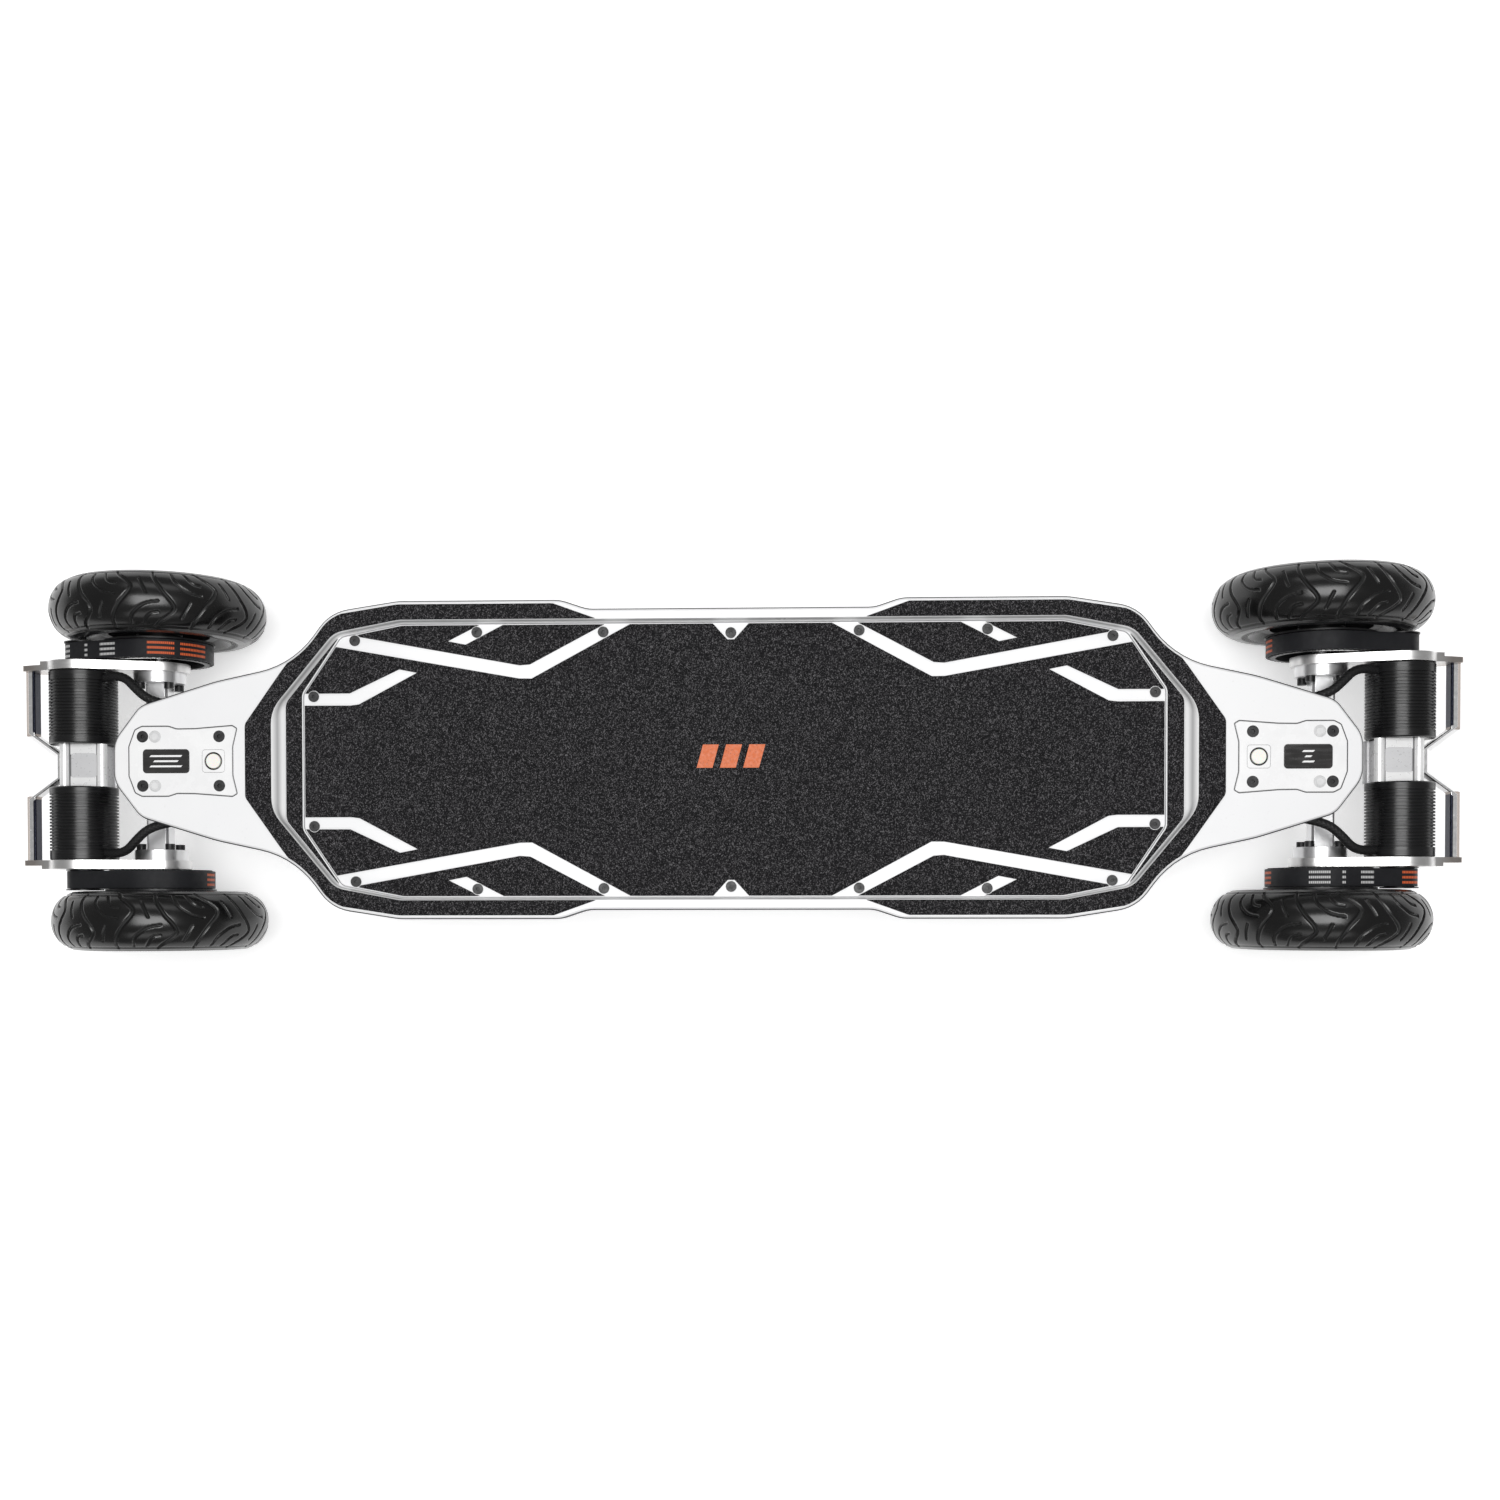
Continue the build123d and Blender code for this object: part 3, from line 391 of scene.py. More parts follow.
def belt_finish(name, white_blocks, orange_blocks):
    """Neoprene belt with a woven back and rows of plain white and orange dashes."""
    s = Surface(name, (0.008, 0.008, 0.012), 0.5, Specular_IOR_Level=0.35)
    run = s.value("run")
    across = s.value("across")
    printed = s.mix(s.noise(160, 4), (0.003, 0.0033, 0.005), (0.007, 0.0073, 0.010))
    for blocks, ink in ((white_blocks, (0.6, 0.6, 0.6)), (orange_blocks, (0.75, 0.13, 0.035))):
        for block in blocks:
            printed = s.mix(dashes(s, run, across, block), printed, ink)
    s.colour(printed)
    threads = [s.maths("SINE", s.times(way, 9000)) for way in (run, across)]
    s.roughness(s.spread(s.noise(220, 3), 0.3, 0.7, 0.4, 0.58))
    s.normal(s.relief(s.maths("ADD", *threads), 0.03 * MM))
    return s.material


def badge_finish():
    """Gloss black resin with hairline scratches."""
    s = Surface("badge", (0.022, 0.021, 0.021), 0.12, Coat_Weight=0.6, Coat_Roughness=0.04)
    s.colour(s.mix(s.spread(s.noise(60, 5), 0.35, 0.7), (0.018, 0.017, 0.017), (0.034, 0.032, 0.031)))
    s.roughness(s.spread(s.noise(500, 3, 0.5, (0.1, 1, 1)), 0.4, 0.8, 0.1, 0.28))
    s.normal(s.soft_edges(0.5 * MM))
    return s.material


def lens_finish():
    """Cloudy cream plastic of the button caps."""
    s = Surface("lens", (0.88, 0.86, 0.80), 0.3, Subsurface_Weight=0.15, Subsurface_Scale=0.002)
    s.colour(s.mix(s.noise(150, 4), (0.84, 0.83, 0.77), (0.91, 0.90, 0.85)))
    s.roughness(s.spread(s.noise(400, 3), 0.3, 0.7, 0.24, 0.4))
    s.normal(s.relief(s.noise(900, 2), 0.015 * MM, s.soft_edges(0.3 * MM)))
    return s.material


def cable_finish():
    """Braided nylon sleeve: glossy strands, with painted shade darkening the gaps between them."""
    s = Surface("cable", (0.01, 0.01, 0.0105), 0.42, Specular_IOR_Level=0.35)
    # painted shade: darker where the braid dips between strands
    s.colour(s.mix(s.value("strand"), (0.003, 0.003, 0.003), (0.014, 0.014, 0.015)))
    s.roughness(s.spread(s.noise(900, 3), 0.3, 0.7, 0.34, 0.56))
    s.normal(s.relief(s.noise(2500, 2), 0.05 * MM))
    return s.material


def coated_finish(name, dark, light, grain):
    """Plain moulded plastic, film or board, mottled between two colours."""
    s = Surface(name, dark, 0.4)
    s.colour(s.mix(s.spread(s.noise(grain, 4), 0.3, 0.7), dark, light))
    s.roughness(s.spread(s.noise(3 * grain, 3), 0.3, 0.7, 0.3, 0.55))
    s.normal(s.relief(s.noise(6 * grain, 2), 0.03 * MM, s.soft_edges(0.4 * MM)))
    return s.material


def ink_finish(name, colour, worn):
    """Screen-printed ink with small pinholes."""
    s = Surface(name, colour, 0.45)
    s.colour(s.mix(s.spread(s.noise(900, 4), 0.58, 0.7, 0, 0.7), colour, worn))
    s.roughness(s.spread(s.noise(400, 3), 0.3, 0.7, 0.38, 0.6))
    s.normal(s.relief(s.noise(1500, 2), 0.03 * MM))
    return s.material


FINISH = {
    "shell": shell_finish(), "lid": lid_finish(), "plate": plate_finish(), "grip": grip_finish(),
    "rubber": rubber_finish(), "tyre": tyre_finish(), "silver": silver_finish(),
    "milled": milled_finish(), "bumper": bumper_finish(), "bridge": bridge_finish(),
    "steel": steel_finish(), "black_steel": black_steel_finish(), "motor_black": motor_finish(),
    "pulley": anodised_finish("pulley"), "rim": anodised_finish("rim"),
    "belt": belt_finish("belt", [], [(152, 168)]),
    "rear_left_belt": belt_finish(
        "rear_left_belt", [(16, 25), (40, 43), (56, 71)], [(100, 121), (126, 151)]),
    "front_right_belt": belt_finish(
        "front_right_belt", [(61, 73), (87, 90), (99, 115)], [(14, 34), (152, 168)]),
    "badge": badge_finish(), "lens": lens_finish(), "cable": cable_finish(),
    "battery": coated_finish("battery", (0.02, 0.07, 0.2), (0.03, 0.10, 0.28), 60),
    "board": coated_finish("board", (0.01, 0.09, 0.04), (0.02, 0.14, 0.06), 90),
    "smoked": coated_finish("smoked", (0.62, 0.625, 0.63), (0.72, 0.72, 0.72), 120),
    "white_ink": ink_finish("white_ink", (0.86, 0.86, 0.86), (0.3, 0.3, 0.3)),
    "orange_ink": ink_finish("orange_ink", (0.64, 0.13, 0.025), (0.25, 0.06, 0.02)),
}
NODE_FINISH = {
    "deck_shell": "shell", "deck_lid": "lid", "lid_gasket": "rubber", "lid_grip": "grip",
    "deck_grips": "grip", "lid_screws": "black_steel", "truck_bolts": "black_steel",
    "nose_plates": "plate", "nose_badges": "badge", "nose_plugs": "smoked", "button_bezels": "plate",
    "button": "lens", "battery_pack": "battery", "battery_manager": "board",
    "motor_controllers": "silver", "king_bolts": "black_steel", "truck_base": "silver",
    "hanger": "silver", "axle": "steel", "axle_nuts": "steel", "motor_plates": "milled",
    "bumper": "bumper", "motor_bridge": "bridge", "motors": "motor_black",
    "plate_bolts": "black_steel", "wheel_bearings": "steel", "rim": "rim",
    "wheel_pulley": "pulley", "motor_pulley": "pulley",
}


def finish_cad_nodes():
    """Gives each CAD node that is shown its material."""
    for name, node in NODES.items():
        kind = name
        for word in ("front_", "rear_", "left_", "right_"):
            kind = kind.removeprefix(word)
        if kind in NODE_FINISH:
            for slot in node.material_slots:
                slot.material = FINISH[NODE_FINISH[kind]]


# ---------------------------------------------------------------- mesh helpers

def piece(name, points, faces, finish, smooth=True):
    """A mesh object with outward faces and one material."""
    mesh = bpy.data.meshes.new(name)
    mesh.from_pydata([tuple(p) for p in points], [], faces)
    mesh.validate()
    mesh.materials.append(FINISH[finish])
    if smooth:
        mesh.shade_smooth()
    made = bpy.data.objects.new(name, mesh)
    bpy.context.scene.collection.objects.link(made)
    return made


def store(made, name, values):
    """Keeps a number at each of a mesh's points for its material."""
    field = made.data.attributes.new(name, "FLOAT", "POINT")
    field.data.foreach_set("value", np.asarray(values, np.float32))


def sharp(made, degrees):
    made.data.set_sharp_from_angle(angle=math.radians(degrees))


def ring_faces(rings, around, closed_along=False, first=0):
    """Quads between rings of points laid one after another."""
    faces = []
    for i in range(rings if closed_along else rings - 1):
        a, b = first + i * around, first + (i + 1) % rings * around
        for j in range(around):
            k = (j + 1) % around
            faces.append((a + j, a + k, b + k, b + j))
    return faces


def flipped(faces):
    """The same faces wound the other way."""
    return [tuple(reversed(face)) for face in faces]


def arc(a, b, c, count):
    """count + 1 points along the circle through three points of a plane, from a to c."""
    a, b, c = (np.array(p, float) for p in (a, b, c))
    rows = 2 * np.array([b - a, c - a])
    middle = np.linalg.solve(rows, np.array([b @ b - a @ a, c @ c - a @ a]))
    angles = np.unwrap([math.atan2(*(p - middle)[::-1]) for p in (a, b, c)])
    turn = np.linspace(angles[0], angles[2], count + 1)
    radius = np.linalg.norm(a - middle)
    return middle + radius * np.stack([np.cos(turn), np.sin(turn)], 1)


def circle(count):
    """Even angles once round."""
    return 2 * math.pi * np.arange(count) / count


def solid(rings, first=0):
    """Points and faces of a closed solid through rings of points, with flat ends."""
    around = len(rings[0])
    points = [point for ring in rings for point in ring]
    faces = ring_faces(len(rings), around, first=first)
    faces.append(tuple(first + i for i in reversed(range(around))))
    faces.append(tuple(first + len(points) - around + i for i in range(around)))
    return points, faces


def joined(solids):
    """Points and faces of several solids as one mesh."""
    points, faces = [], []
    for rings in solids:
        more_points, more_faces = solid(rings, first=len(points))
        points += more_points
        faces += more_faces
    return points, faces


# ---------------------------------------------------------------- tyres

TYRE_R = size("front_left_tyre").z / 2
PITCHES = 8                      # repeats of the tread round the tyre
COLUMNS = 88                     # mesh columns in one repeat
TREAD_DEPTH = 1.5 * MM
TREAD_EDGE = 26.0 * MM           # where the tread's edge line is, measured over the shoulder
TREAD_END = 30.0 * MM            # and nothing is cut past this
# One repeat of the tread, as (along, across) points over the surface in mm. The other half of
# the pattern is the same lines flipped across the tyre and moved on by half a repeat.
WAVE = [(-10, 27), (-8.7, 18), (-2.5, 6.2), (5.6, -3.8), (7.6, -9.5), (3, -15), (-4, -21), (-8, -27)]
LONG_HOOK = [(6, 24), (8.5, 14), (17, 6.6), (24, 4), (30, 3.1)]
SHORT_HOOK = [(17, 24), (21, 16), (25, 12.8), (30, 12)]
SLASH = [(55, 3.7), (52, 10), (49, 17)]
DEEP, FINE = 1.05 * MM, 0.75 * MM    # half widths of the grooves


def smooth_line(points, steps):
    """A Catmull-Rom line through points, as many steps to each stretch."""
    p = np.array(points, float)
    p = np.vstack([2 * p[0] - p[1], p, 2 * p[-1] - p[-2]])
    t = np.arange(steps)[:, None] / steps
    made = []
    for a, b, c, d in zip(p, p[1:], p[2:], p[3:]):
        made.append(0.5 * (2 * b + (c - a) * t + (2 * a - 5 * b + 4 * c - d) * t ** 2
                           + (3 * b - a - 3 * c + d) * t ** 3))
    return np.vstack([*made, p[-2:-1]])


def distance_to(line, points):
    """How far each point is from a line of straight steps."""
    best = np.full(len(points), 1e9)
    for a, b in zip(line, line[1:]):
        step = b - a
        share = np.clip((points - a) @ step / (step @ step), 0, 1)
        best = np.minimum(best, np.linalg.norm(points - a - share[:, None] * step, axis=1))
    return best


def tread_depth(along, across):
    """How deep the tread is cut, from 0 to 1, at points of one repeat."""
    pitch = 2 * math.pi * TYRE_R / PITCHES
    points = np.stack([along, across], 1)
    cut = np.zeros(len(points))
    for line, half in ((WAVE, DEEP), (LONG_HOOK, FINE), (SHORT_HOOK, FINE), (SLASH, FINE)):
        path = smooth_line(line, 5) * MM
        for flip, shift in ((1, 0), (-1, pitch / 2)):
            for lap in (-2, -1, 0, 1):
                moved = path * (1, flip) + (shift + lap * pitch, 0)
                away = distance_to(moved, points)
                cut = np.maximum(cut, np.clip((half + 0.25 * MM - away) / (0.5 * MM), 0, 1))
    ring = np.abs(np.abs(across) - TREAD_EDGE)
    return np.maximum(cut, 0.45 * np.clip((0.9 * MM - ring) / (0.5 * MM), 0, 1))


def tyre_section():
    """The tyre's closed section as (radius, y) points, outside first, and how many are outside."""
    flip = (1, -1)
    bead, wide, shoulder = (49.3, 17), (65, 24.8), np.array((83.3, 16.6))
    wall = np.vstack([arc(bead, (55, 22.2), wide, 9)[:-1], arc(wide, (76.7, 22), shoulder, 22)[:-1]])
    crown = arc(shoulder, (89, 0), shoulder * flip, 44)
    outside = np.vstack([wall, crown, (wall * flip)[::-1]])
    seat, lining, under = np.array((45.5, 17)), (65, 20.3), np.array((78.5, 12.4))
    inner_wall = np.vstack([arc((45.5, 11), (54, 17.2), lining, 4)[:-1],
                            arc(lining, (74, 17.6), under, 3)])
    inner_crown = arc(under, (82, 0), under * flip, 4)[1:-1]
    inside = np.vstack([inner_wall, inner_crown, (inner_wall * flip)[::-1]])[::-1]
    return np.vstack([outside, seat * flip, inside, seat]) * MM, len(outside)


def sidewall_lift(radius):
    """How far the moulded rings and short ribs of the sidewall stand out, as (column, point) rows."""
    rings = sum(np.clip(1 - np.abs(radius - r * MM) / (0.9 * MM), 0, 1) for r in (52.5, 58.5, 71.5))
    rib_band = np.clip(1 - np.abs(radius - 62.5 * MM) / (2.6 * MM), 0, 1)
    ribs = np.outer(np.arange(COLUMNS) % 4 < 2, rib_band)
    return 0.35 * MM * np.minimum(rings, 1) + 0.3 * MM * np.minimum(2 * ribs, 1)


def make_tyre_mesh():
    """A whole tyre round the Y axis with its tread cut in, and how deep each point is cut."""
    section, outside = tyre_section()
    steps = np.linalg.norm(np.diff(section[:outside], axis=0), axis=1)
    across = np.concatenate([[0], np.cumsum(steps)])
    across = across[-1] / 2 - across
    tangent = np.gradient(section[:outside], axis=0)
    normal = np.stack([-tangent[:, 1], tangent[:, 0]], 1)
    normal /= np.linalg.norm(normal, axis=1)[:, None]
    columns = PITCHES * COLUMNS
    angle = circle(columns)
    grid_along, grid_across = np.meshgrid(angle[:COLUMNS] * TYRE_R, -across, indexing="ij")
    cut = tread_depth(grid_along.ravel(), grid_across.ravel()).reshape(COLUMNS, outside)
    cut[:, np.abs(across) > TREAD_END] = 0
    lift = sidewall_lift(section[:outside, 0]) - TREAD_DEPTH * cut
    points = np.zeros((columns, len(section), 3))
    groove = np.zeros((columns, len(section)))
    for i in range(columns):
        ring = section.copy()
        ring[:outside] += normal * lift[i % COLUMNS][:, None]
        groove[i, :outside] = cut[i % COLUMNS]
        points[i, :, 0] = ring[:, 0] * math.sin(angle[i])
        points[i, :, 1] = ring[:, 1]
        points[i, :, 2] = ring[:, 0] * math.cos(angle[i])
    faces = ring_faces(columns, len(section), closed_along=True)
    return points.reshape(-1, 3), faces, groove.ravel()


def make_tyres():
    """The same moulded tyre at each corner: all four treads point the same way."""
    points, faces, groove = make_tyre_mesh()
    for name, _, _ in corners():
        middle = np.array(centre(f"{name}_tyre"))
        tyre = piece(f"{name}_tread", points + middle, faces, "tyre")
        store(tyre, "groove", groove)
        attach(tyre, f"{name}_wheel")
        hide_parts(f"{name}_tyre")


# ---------------------------------------------------------------- belts

TOOTH_PITCH = 5 * MM
WHEEL_TEETH = 54
MOTOR_TEETH = 16
BELT_T = 2 * MM
BELT_LOW, BELT_HIGH = 89 * MM, 104 * MM        # the belt's edges, across the board
TOOTH_H = 1.5 * MM
BELT_SEAT = 0.17 * MM                          # the belt's inside runs this far below the pitch line
WHEEL_BELT_R = WHEEL_TEETH * TOOTH_PITCH / math.pi / 2 - BELT_SEAT
MOTOR_BELT_R = MOTOR_TEETH * TOOTH_PITCH / math.pi / 2 - BELT_SEAT


def belt_stations(axle, motor):
    """Places round the belt's inside as (point, outward direction, tooth height)."""
    gap = np.linalg.norm(motor - axle)
    along = (motor - axle) / gap
    side = np.array([-along[1], along[0]])
    lean = math.acos((WHEEL_BELT_R - MOTOR_BELT_R) / gap)
    straight = gap * math.sin(lean)
    clear_wheel, clear_motor = 11 * MM, 7 * MM        # no teeth this near to where the belt leaves a pulley
    stations = []

    def outward(turn):
        return math.cos(turn) * along + math.sin(turn) * side

    def wrap(middle, radius, first, last, count):
        for turn in np.linspace(first, last, count, endpoint=False):
            stations.append((middle + outward(turn) * radius, outward(turn), 0.0))

    def run(turn, from_wheel):
        out = outward(turn)
        ends = [axle + out * WHEEL_BELT_R, motor + out * MOTOR_BELT_R]
        if not from_wheel:
            ends.reverse()
        steps = 44
        for i in range(steps):
            done = straight * i / steps
            from_wheel_end = done if from_wheel else straight - done
            toothed = clear_wheel < from_wheel_end < straight - clear_motor
            tooth = TOOTH_H if toothed and i % 4 in (1, 2) else 0.0
            stations.append((ends[0] + (ends[1] - ends[0]) * i / steps, out, tooth))

    wrap(motor, MOTOR_BELT_R, -lean, lean, 16)
    run(lean, False)
    wrap(axle, WHEEL_BELT_R, lean, 2 * math.pi - lean, 72)
    run(-lean, True)
    return stations


def make_belt(name, sx, sy):
    """A toothed belt round the two pulleys. Its teeth show on the straight runs."""
    end = name.split("_")[0]
    wheel = centre(f"{name}_wheel_pulley")
    motor = centre(f"{name}_motor_pulley")
    axle = np.array([sx * wheel.x, centre(f"{end}_axle").z])
    stations = belt_stations(axle, np.array([sx * motor.x, motor.z]))
    chamfer = 0.35 * MM
    section = [(BELT_LOW, 0), (BELT_HIGH, 0), (BELT_HIGH, 1 - chamfer / BELT_T), (BELT_HIGH - chamfer, 1),
               (BELT_LOW + chamfer, 1), (BELT_LOW, 1 - chamfer / BELT_T)]
    points, run, across, back = [], [], [], []
    length = 0.0
    last = stations[0][0]
    for place, out, tooth in stations:
        length += float(np.linalg.norm(place - last))
        last = place
        for y, share in section:
            spot = place + out * (share * BELT_T - (tooth if share == 0 else 0))
            points.append((sx * spot[0], sy * y, spot[1]))
            run.append(length)
            across.append(y - (BELT_LOW + BELT_HIGH) / 2)
            back.append(share)
    faces = ring_faces(len(stations), len(section), closed_along=True)
    if sx * sy > 0:
        faces = flipped(faces)
    belt = piece(f"{name}_belt", points, faces, f"{name}_belt" if f"{name}_belt" in FINISH else "belt")
    sharp(belt, 30)
    store(belt, "run", run)
    store(belt, "across", across)
    store(belt, "back", back)
    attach(belt, f"{end}_truck")
    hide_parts(f"{end}_belts")


# ---------------------------------------------------------------- phase cables

CABLE_R = 3.9 * MM
# From the motor to the belly's front wall, in mm, for the front left lead.
CABLE_ROUTE = [(531.5, 73.5, 112.5), (521, 75, 118.5), (508.5, 72.5, 123.5), (499.5, 63.5, 126.5),
               (488, 53.5, 128.6), (466, 48, 129), (440, 45, 128.4), (414, 42.2, 128.8), (392.3, 42, 129)]


def smooth_route(route):
    """Points along the route's own smooth line."""
    curve = bpy.data.curves.new("route", "CURVE")
    curve.dimensions = "3D"
    spline = curve.splines.new("NURBS")
    spline.points.add(len(route) - 1)
    for point, place in zip(spline.points, route):
        point.co = (*place, 1)
    spline.order_u = 3
    spline.use_endpoint_u = True
    spline.resolution_u = 24
    holder = bpy.data.objects.new("route", curve)
    bpy.context.scene.collection.objects.link(holder)
    bpy.context.view_layer.update()
    line = bpy.data.meshes.new_from_object(holder.evaluated_get(bpy.context.evaluated_depsgraph_get()))
    points = np.array([v.co for v in line.vertices])
    bpy.data.objects.remove(holder)
    return points


def resampled(points, step):
    """The same line at even steps."""
    lengths = np.concatenate([[0], np.cumsum(np.linalg.norm(np.diff(points, axis=0), axis=1))])
    count = int(lengths[-1] / step)
    wanted = np.linspace(0, lengths[-1], count + 1)
    return np.stack([np.interp(wanted, lengths, points[:, k]) for k in range(3)], 1), wanted


def make_cable(name, sx, sy):
    """A braided sleeve along the route: strands cross over and under round the cable."""
    route = smooth_route([(sx * x * MM, sy * y * MM, z * MM) for x, y, z in CABLE_ROUTE])
    line, along = resampled(route, 0.45 * MM)
    tangent = np.gradient(line, axis=0)
    tangent /= np.linalg.norm(tangent, axis=1)[:, None]
    across = np.cross(tangent, (0, 0, 1))
    across /= np.linalg.norm(across, axis=1)[:, None]
    upward = np.cross(across, tangent)
    strands, lay = 8, 30 * MM
    turn = circle(48)
    rings, strand = [], []
    for middle, a, u, s in zip(line, across, upward, along):
        right = np.sin(strands / 2 * (turn + 2 * math.pi * s / lay))
        left = np.sin(strands / 2 * (turn - 2 * math.pi * s / lay))
        height = np.maximum(np.abs(right), np.abs(left)) * 0.6 + 0.4 * np.abs(right * left)
        end = min(s, along[-1] - s)
        radius = CABLE_R * (0.86 + 0.14 * height) * min(1, 0.75 + end / (2 * MM))
        rings.append([middle + r * (math.cos(t) * a + math.sin(t) * u) for r, t in zip(radius, turn)])
        strand += list(height)
    points, faces = solid(rings)
    cable = piece(f"{name}_cable", points, flipped(faces), "cable")
    store(cable, "strand", strand)
    return cable


def make_cables():
    """Each corner's lead, in place of the CAD's phase cables."""
    for name, sx, sy in corners():
        end = name.split("_")[0]
        cable = make_cable(name, sx, sy)
        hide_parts(f"{end}_phase_cables")
        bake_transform(cable)


# ---------------------------------------------------------------- dampers

def make_dampers():
    """Waisted rubber blocks that squeeze between the deck and the truck."""
    shares = np.linspace(0, 1, 41)
    bulge = 0.80 + 0.20 * np.abs(np.sin(3 * math.pi * shares)) ** 0.5
    for end in ENDS:
        low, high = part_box(f"{end}_steering_dampers")
        radius = (high.x - low.x) / 2
        x, y = (low.x + high.x) / 2, high.y - radius
        solids = []
        for sy in SIDES.values():
            solids.append([[(x + r * math.cos(a), sy * y + r * math.sin(a), z) for a in circle(48)]
                           for r, z in zip(radius * bulge, low.z + (high.z - low.z) * shares)])
        dampers = piece(f"{end}_damper_pair", *joined(solids), "rubber")
        sharp(dampers, 50)
        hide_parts(f"{end}_steering_dampers")
        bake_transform(dampers)


# ---------------------------------------------------------------- motor bridges

def rounded_rectangle(half_x, half_y, radius, steps=6):
    """Points round a rectangle with rounded corners, counterclockwise."""
    points = []
    for quarter, (cx, cy) in enumerate(((1, 1), (-1, 1), (-1, -1), (1, -1))):
        for i in range(steps + 1):
            angle = math.pi / 2 * (quarter + i / steps)
            points.append((cx * (half_x - radius) + radius * math.cos(angle),
                           cy * (half_y - radius) + radius * math.sin(angle)))
    return points


def onto_rectangle(points, half_x, half_y):
    """The points pushed straight out from the middle to a rectangle's sides."""
    pushed = []
    for x, y in points:
        reach = min(half_x / max(abs(x), 1e-9), half_y / max(abs(y), 1e-9))
        pushed.append((x * reach, y * reach))
    return pushed


def make_bridges():
    """The block between the motors: a recessed panel in its top between two round rails."""
    for end, sx in ENDS.items():
        low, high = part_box(f"{end}_motor_bridge")
        middle = (low.x + high.x) / 2 - sx * BRIDGE_SHIFT
        top = high.z - BRIDGE_DROP
        half_y = high.y - 0.1 * MM
        rail_x = (high.x - low.x) / 2 - RAIL_R
        panel = rounded_rectangle(12.3 * MM, 10.2 * MM, 4 * MM)
        block = onto_rectangle(panel, rail_x, half_y)
        levels = ((block, low.z + RAIL_R), (block, top), (panel, top), (panel, top - PANEL_DEPTH))
        solids = [[[(middle + x, y, z) for x, y in outline] for outline, z in levels]]
        for x in (-rail_x, rail_x):
            for z in (top - 0.6 * MM, low.z + RAIL_R):
                solids.append([[(middle + x + RAIL_R * math.cos(a), y, z - RAIL_R * math.sin(a))
                                for a in circle(40)] for y in (-half_y, half_y)])
        bridge = piece(f"{end}_bridge_block", *joined(solids), "bridge")
        sharp(bridge, 30)
        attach(bridge, f"{end}_truck")
        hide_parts(f"{end}_motor_bridge")


# ---------------------------------------------------------------- printed marks

def slanted(x, y, width, height, lean):
    """Corners of a slanted bar about a point."""
    return [(x - width / 2 - lean, y - height / 2), (x + width / 2 - lean, y - height / 2),
            (x + width / 2 + lean, y + height / 2), (x - width / 2 + lean, y + height / 2)]


def flat_bars(name, outlines, surface, finish):
    """Bars of ink a little proud of the surface under them, one for each counterclockwise outline."""
    sunk, proud = 0.2 * MM, 0.08 * MM
    solids = [[[(x, y, z) for x, y in outline] for z in (surface - sunk, surface + proud)]
              for outline in outlines]
    return piece(name, *joined(solids), finish, smooth=False)


def make_marks():
    """Plain bars where the real board has its printed marks."""
    bars = [slanted((i - 1) * 19 * MM, 3 * MM, 13 * MM, 19 * MM, 2.6 * MM) for i in range(3)]
    middle = flat_bars("centre_bars", bars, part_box("lid_grip")[1].z, "orange_ink")
    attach(middle, "deck")
    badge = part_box("nose_badges")[1]
    badge_x = badge.x - 19.2 * MM
    lengths = {"front": (9, 5, 9), "rear": (26, 20, 26)}
    for end, sx in ENDS.items():
        lines = [slanted(sx * badge_x, (i - 1) * 4.2 * MM, length * MM, 1.5 * MM, 0.7 * MM)
                 for i, length in enumerate(lengths[end])]
        mark = flat_bars(f"{end}_badge_bars", lines, badge.z, "white_ink")
        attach(mark, "deck")


def torus(middle, radius, tube, around=48, section=12):
    """Points and faces of a ring lying flat."""
    points = []
    for a in circle(around):
        for b in circle(section):
            reach = radius + tube * math.cos(b)
            points.append((middle[0] + reach * math.cos(a), middle[1] + reach * math.sin(a),
                           middle[2] + tube * math.sin(b)))
    return points, flipped(ring_faces(around, section, closed_along=True))


def make_plug_rings():
    """A raised grey ring on each of the cloudy plugs of the nose plates."""
    low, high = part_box("nose_plugs")
    plug_r = 4.9 * MM
    points, faces = [], []
    for sx in ENDS.values():
        for sy in SIDES.values():
            middle = (sx * (high.x - plug_r), sy * (high.y - plug_r), high.z - 0.05 * MM)
            ring_points, ring = torus(middle, 3.5 * MM, 0.6 * MM)
            faces += [tuple(len(points) + i for i in face) for face in ring]
            points += ring_points
    rings = piece("plug_rings", points, faces, "smoked")
    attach(rings, "deck")


# ---------------------------------------------------------------- stage, light, camera

def make_stage():
    """A plain pale floor under the wheels. It glows a little, so that it stays an even white."""
    half = 30.0
    corners_xy = [(-half, -half), (half, -half), (half, half), (-half, half)]
    mesh = bpy.data.meshes.new("floor")
    mesh.from_pydata([(x, y, cad_box[0].z) for x, y in corners_xy], [], [(0, 1, 2, 3)])
    s = Surface("floor", (0.94, 0.94, 0.94), 0.7, Emission_Color=(1, 1, 1, 1), Emission_Strength=0.45)
    s.colour(s.mix(s.noise(2, 3), (0.93, 0.93, 0.93), (0.95, 0.95, 0.95)))
    mesh.materials.append(s.material)
    floor = bpy.data.objects.new("floor", mesh)
    bpy.context.scene.collection.objects.link(floor)


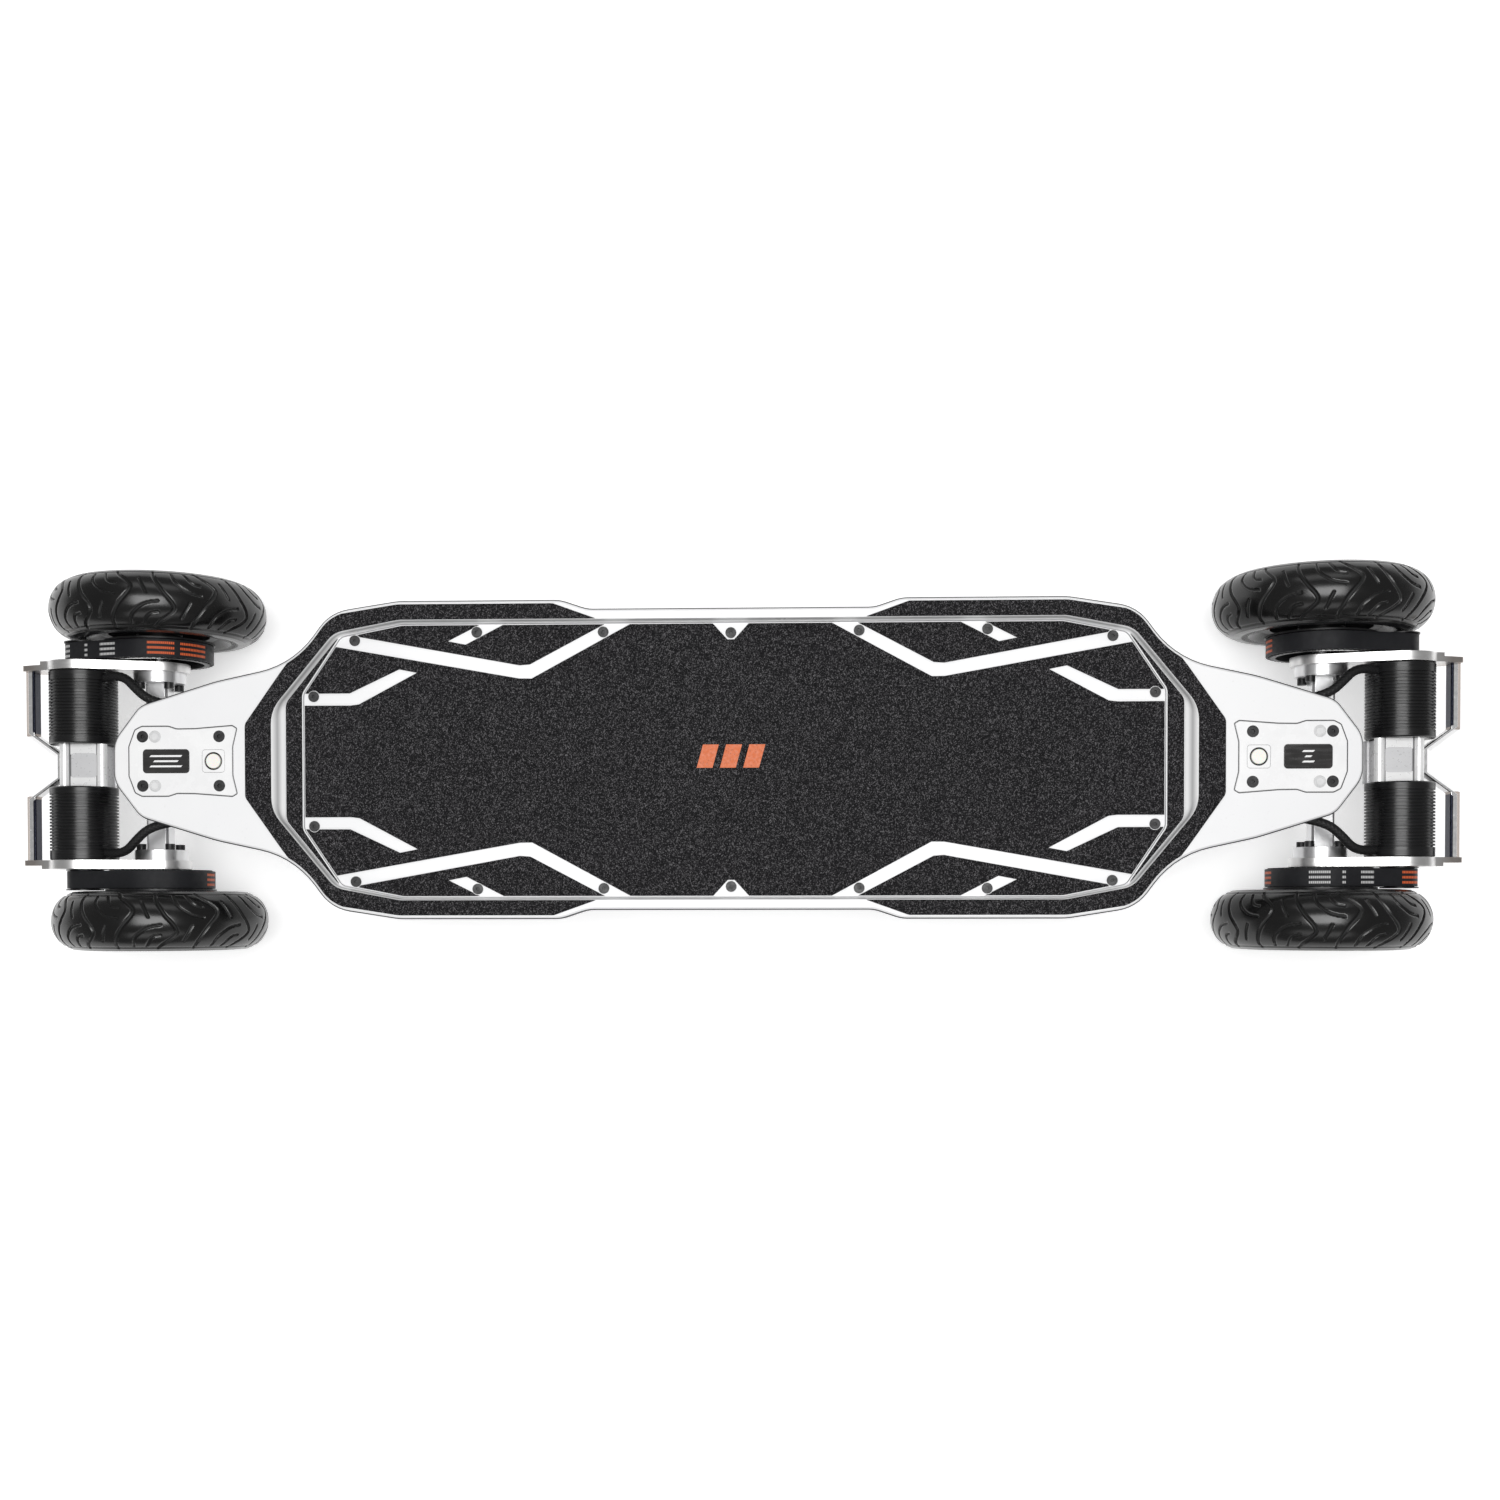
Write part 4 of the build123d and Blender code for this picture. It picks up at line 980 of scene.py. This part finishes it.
def make_surround():
    """An even white surround, seen as brightly as the far floor but lighting the board less."""
    world = bpy.data.worlds.new("surround")
    world.use_nodes = True
    tree = world.node_tree
    background = tree.nodes["Background"]
    background.inputs["Color"].default_value = (1, 1, 1, 1)
    rays = tree.nodes.new("ShaderNodeLightPath")
    strength = tree.nodes.new("ShaderNodeMapRange")
    strength.inputs["To Min"].default_value = 0.27
    strength.inputs["To Max"].default_value = 0.68
    tree.links.new(rays.outputs["Is Camera Ray"], strength.inputs["Value"])
    tree.links.new(strength.outputs["Result"], background.inputs["Strength"])
    bpy.context.scene.world = world


def make_lights():
    """A big soft box overhead and a long one high on each side, aimed at the board."""
    lamps = [("top_box", (0.0, 0.0, 2.6), 1.7, 1.3, 47.0),
             ("long_box", (0.0, 2.2, 1.9), 2.6, 0.8, 9.0),
             ("near_box", (0.0, -2.2, 1.9), 2.6, 0.8, 9.0)]
    for name, place, width, depth, watts in lamps:
        light = bpy.data.lights.new(name, "AREA")
        light.shape = "RECTANGLE"
        light.size = width
        light.size_y = depth
        light.energy = watts
        lamp = bpy.data.objects.new(name, light)
        lamp.location = place
        lamp.rotation_euler = (-Vector(place)).to_track_quat("-Z", "Y").to_euler()
        bpy.context.scene.collection.objects.link(lamp)


def make_camera():
    """Nearly straight above the deck, a little to the front and right of its middle."""
    data = bpy.data.cameras.new("camera")
    data.sensor_width = 36
    data.lens = 43.32
    data.shift_x = 0.00867
    data.shift_y = 0.12821
    camera = bpy.data.objects.new("camera", data)
    camera.rotation_mode = "ZXY"
    camera.location = (0.05955, -0.11871, 1.62064)
    camera.rotation_euler = [math.radians(a) for a in (-1.181, 2.128, -0.076)]
    bpy.context.scene.collection.objects.link(camera)
    bpy.context.scene.camera = camera


make_camera()
make_surround()
make_lights()
make_stage()
finish_cad_nodes()
make_tyres()
for corner, sign_x, sign_y in corners():
    make_belt(corner, sign_x, sign_y)
make_cables()
make_dampers()
make_bridges()
make_marks()
make_plug_rings()
bpy.context.scene.view_settings.view_transform = "Standard"
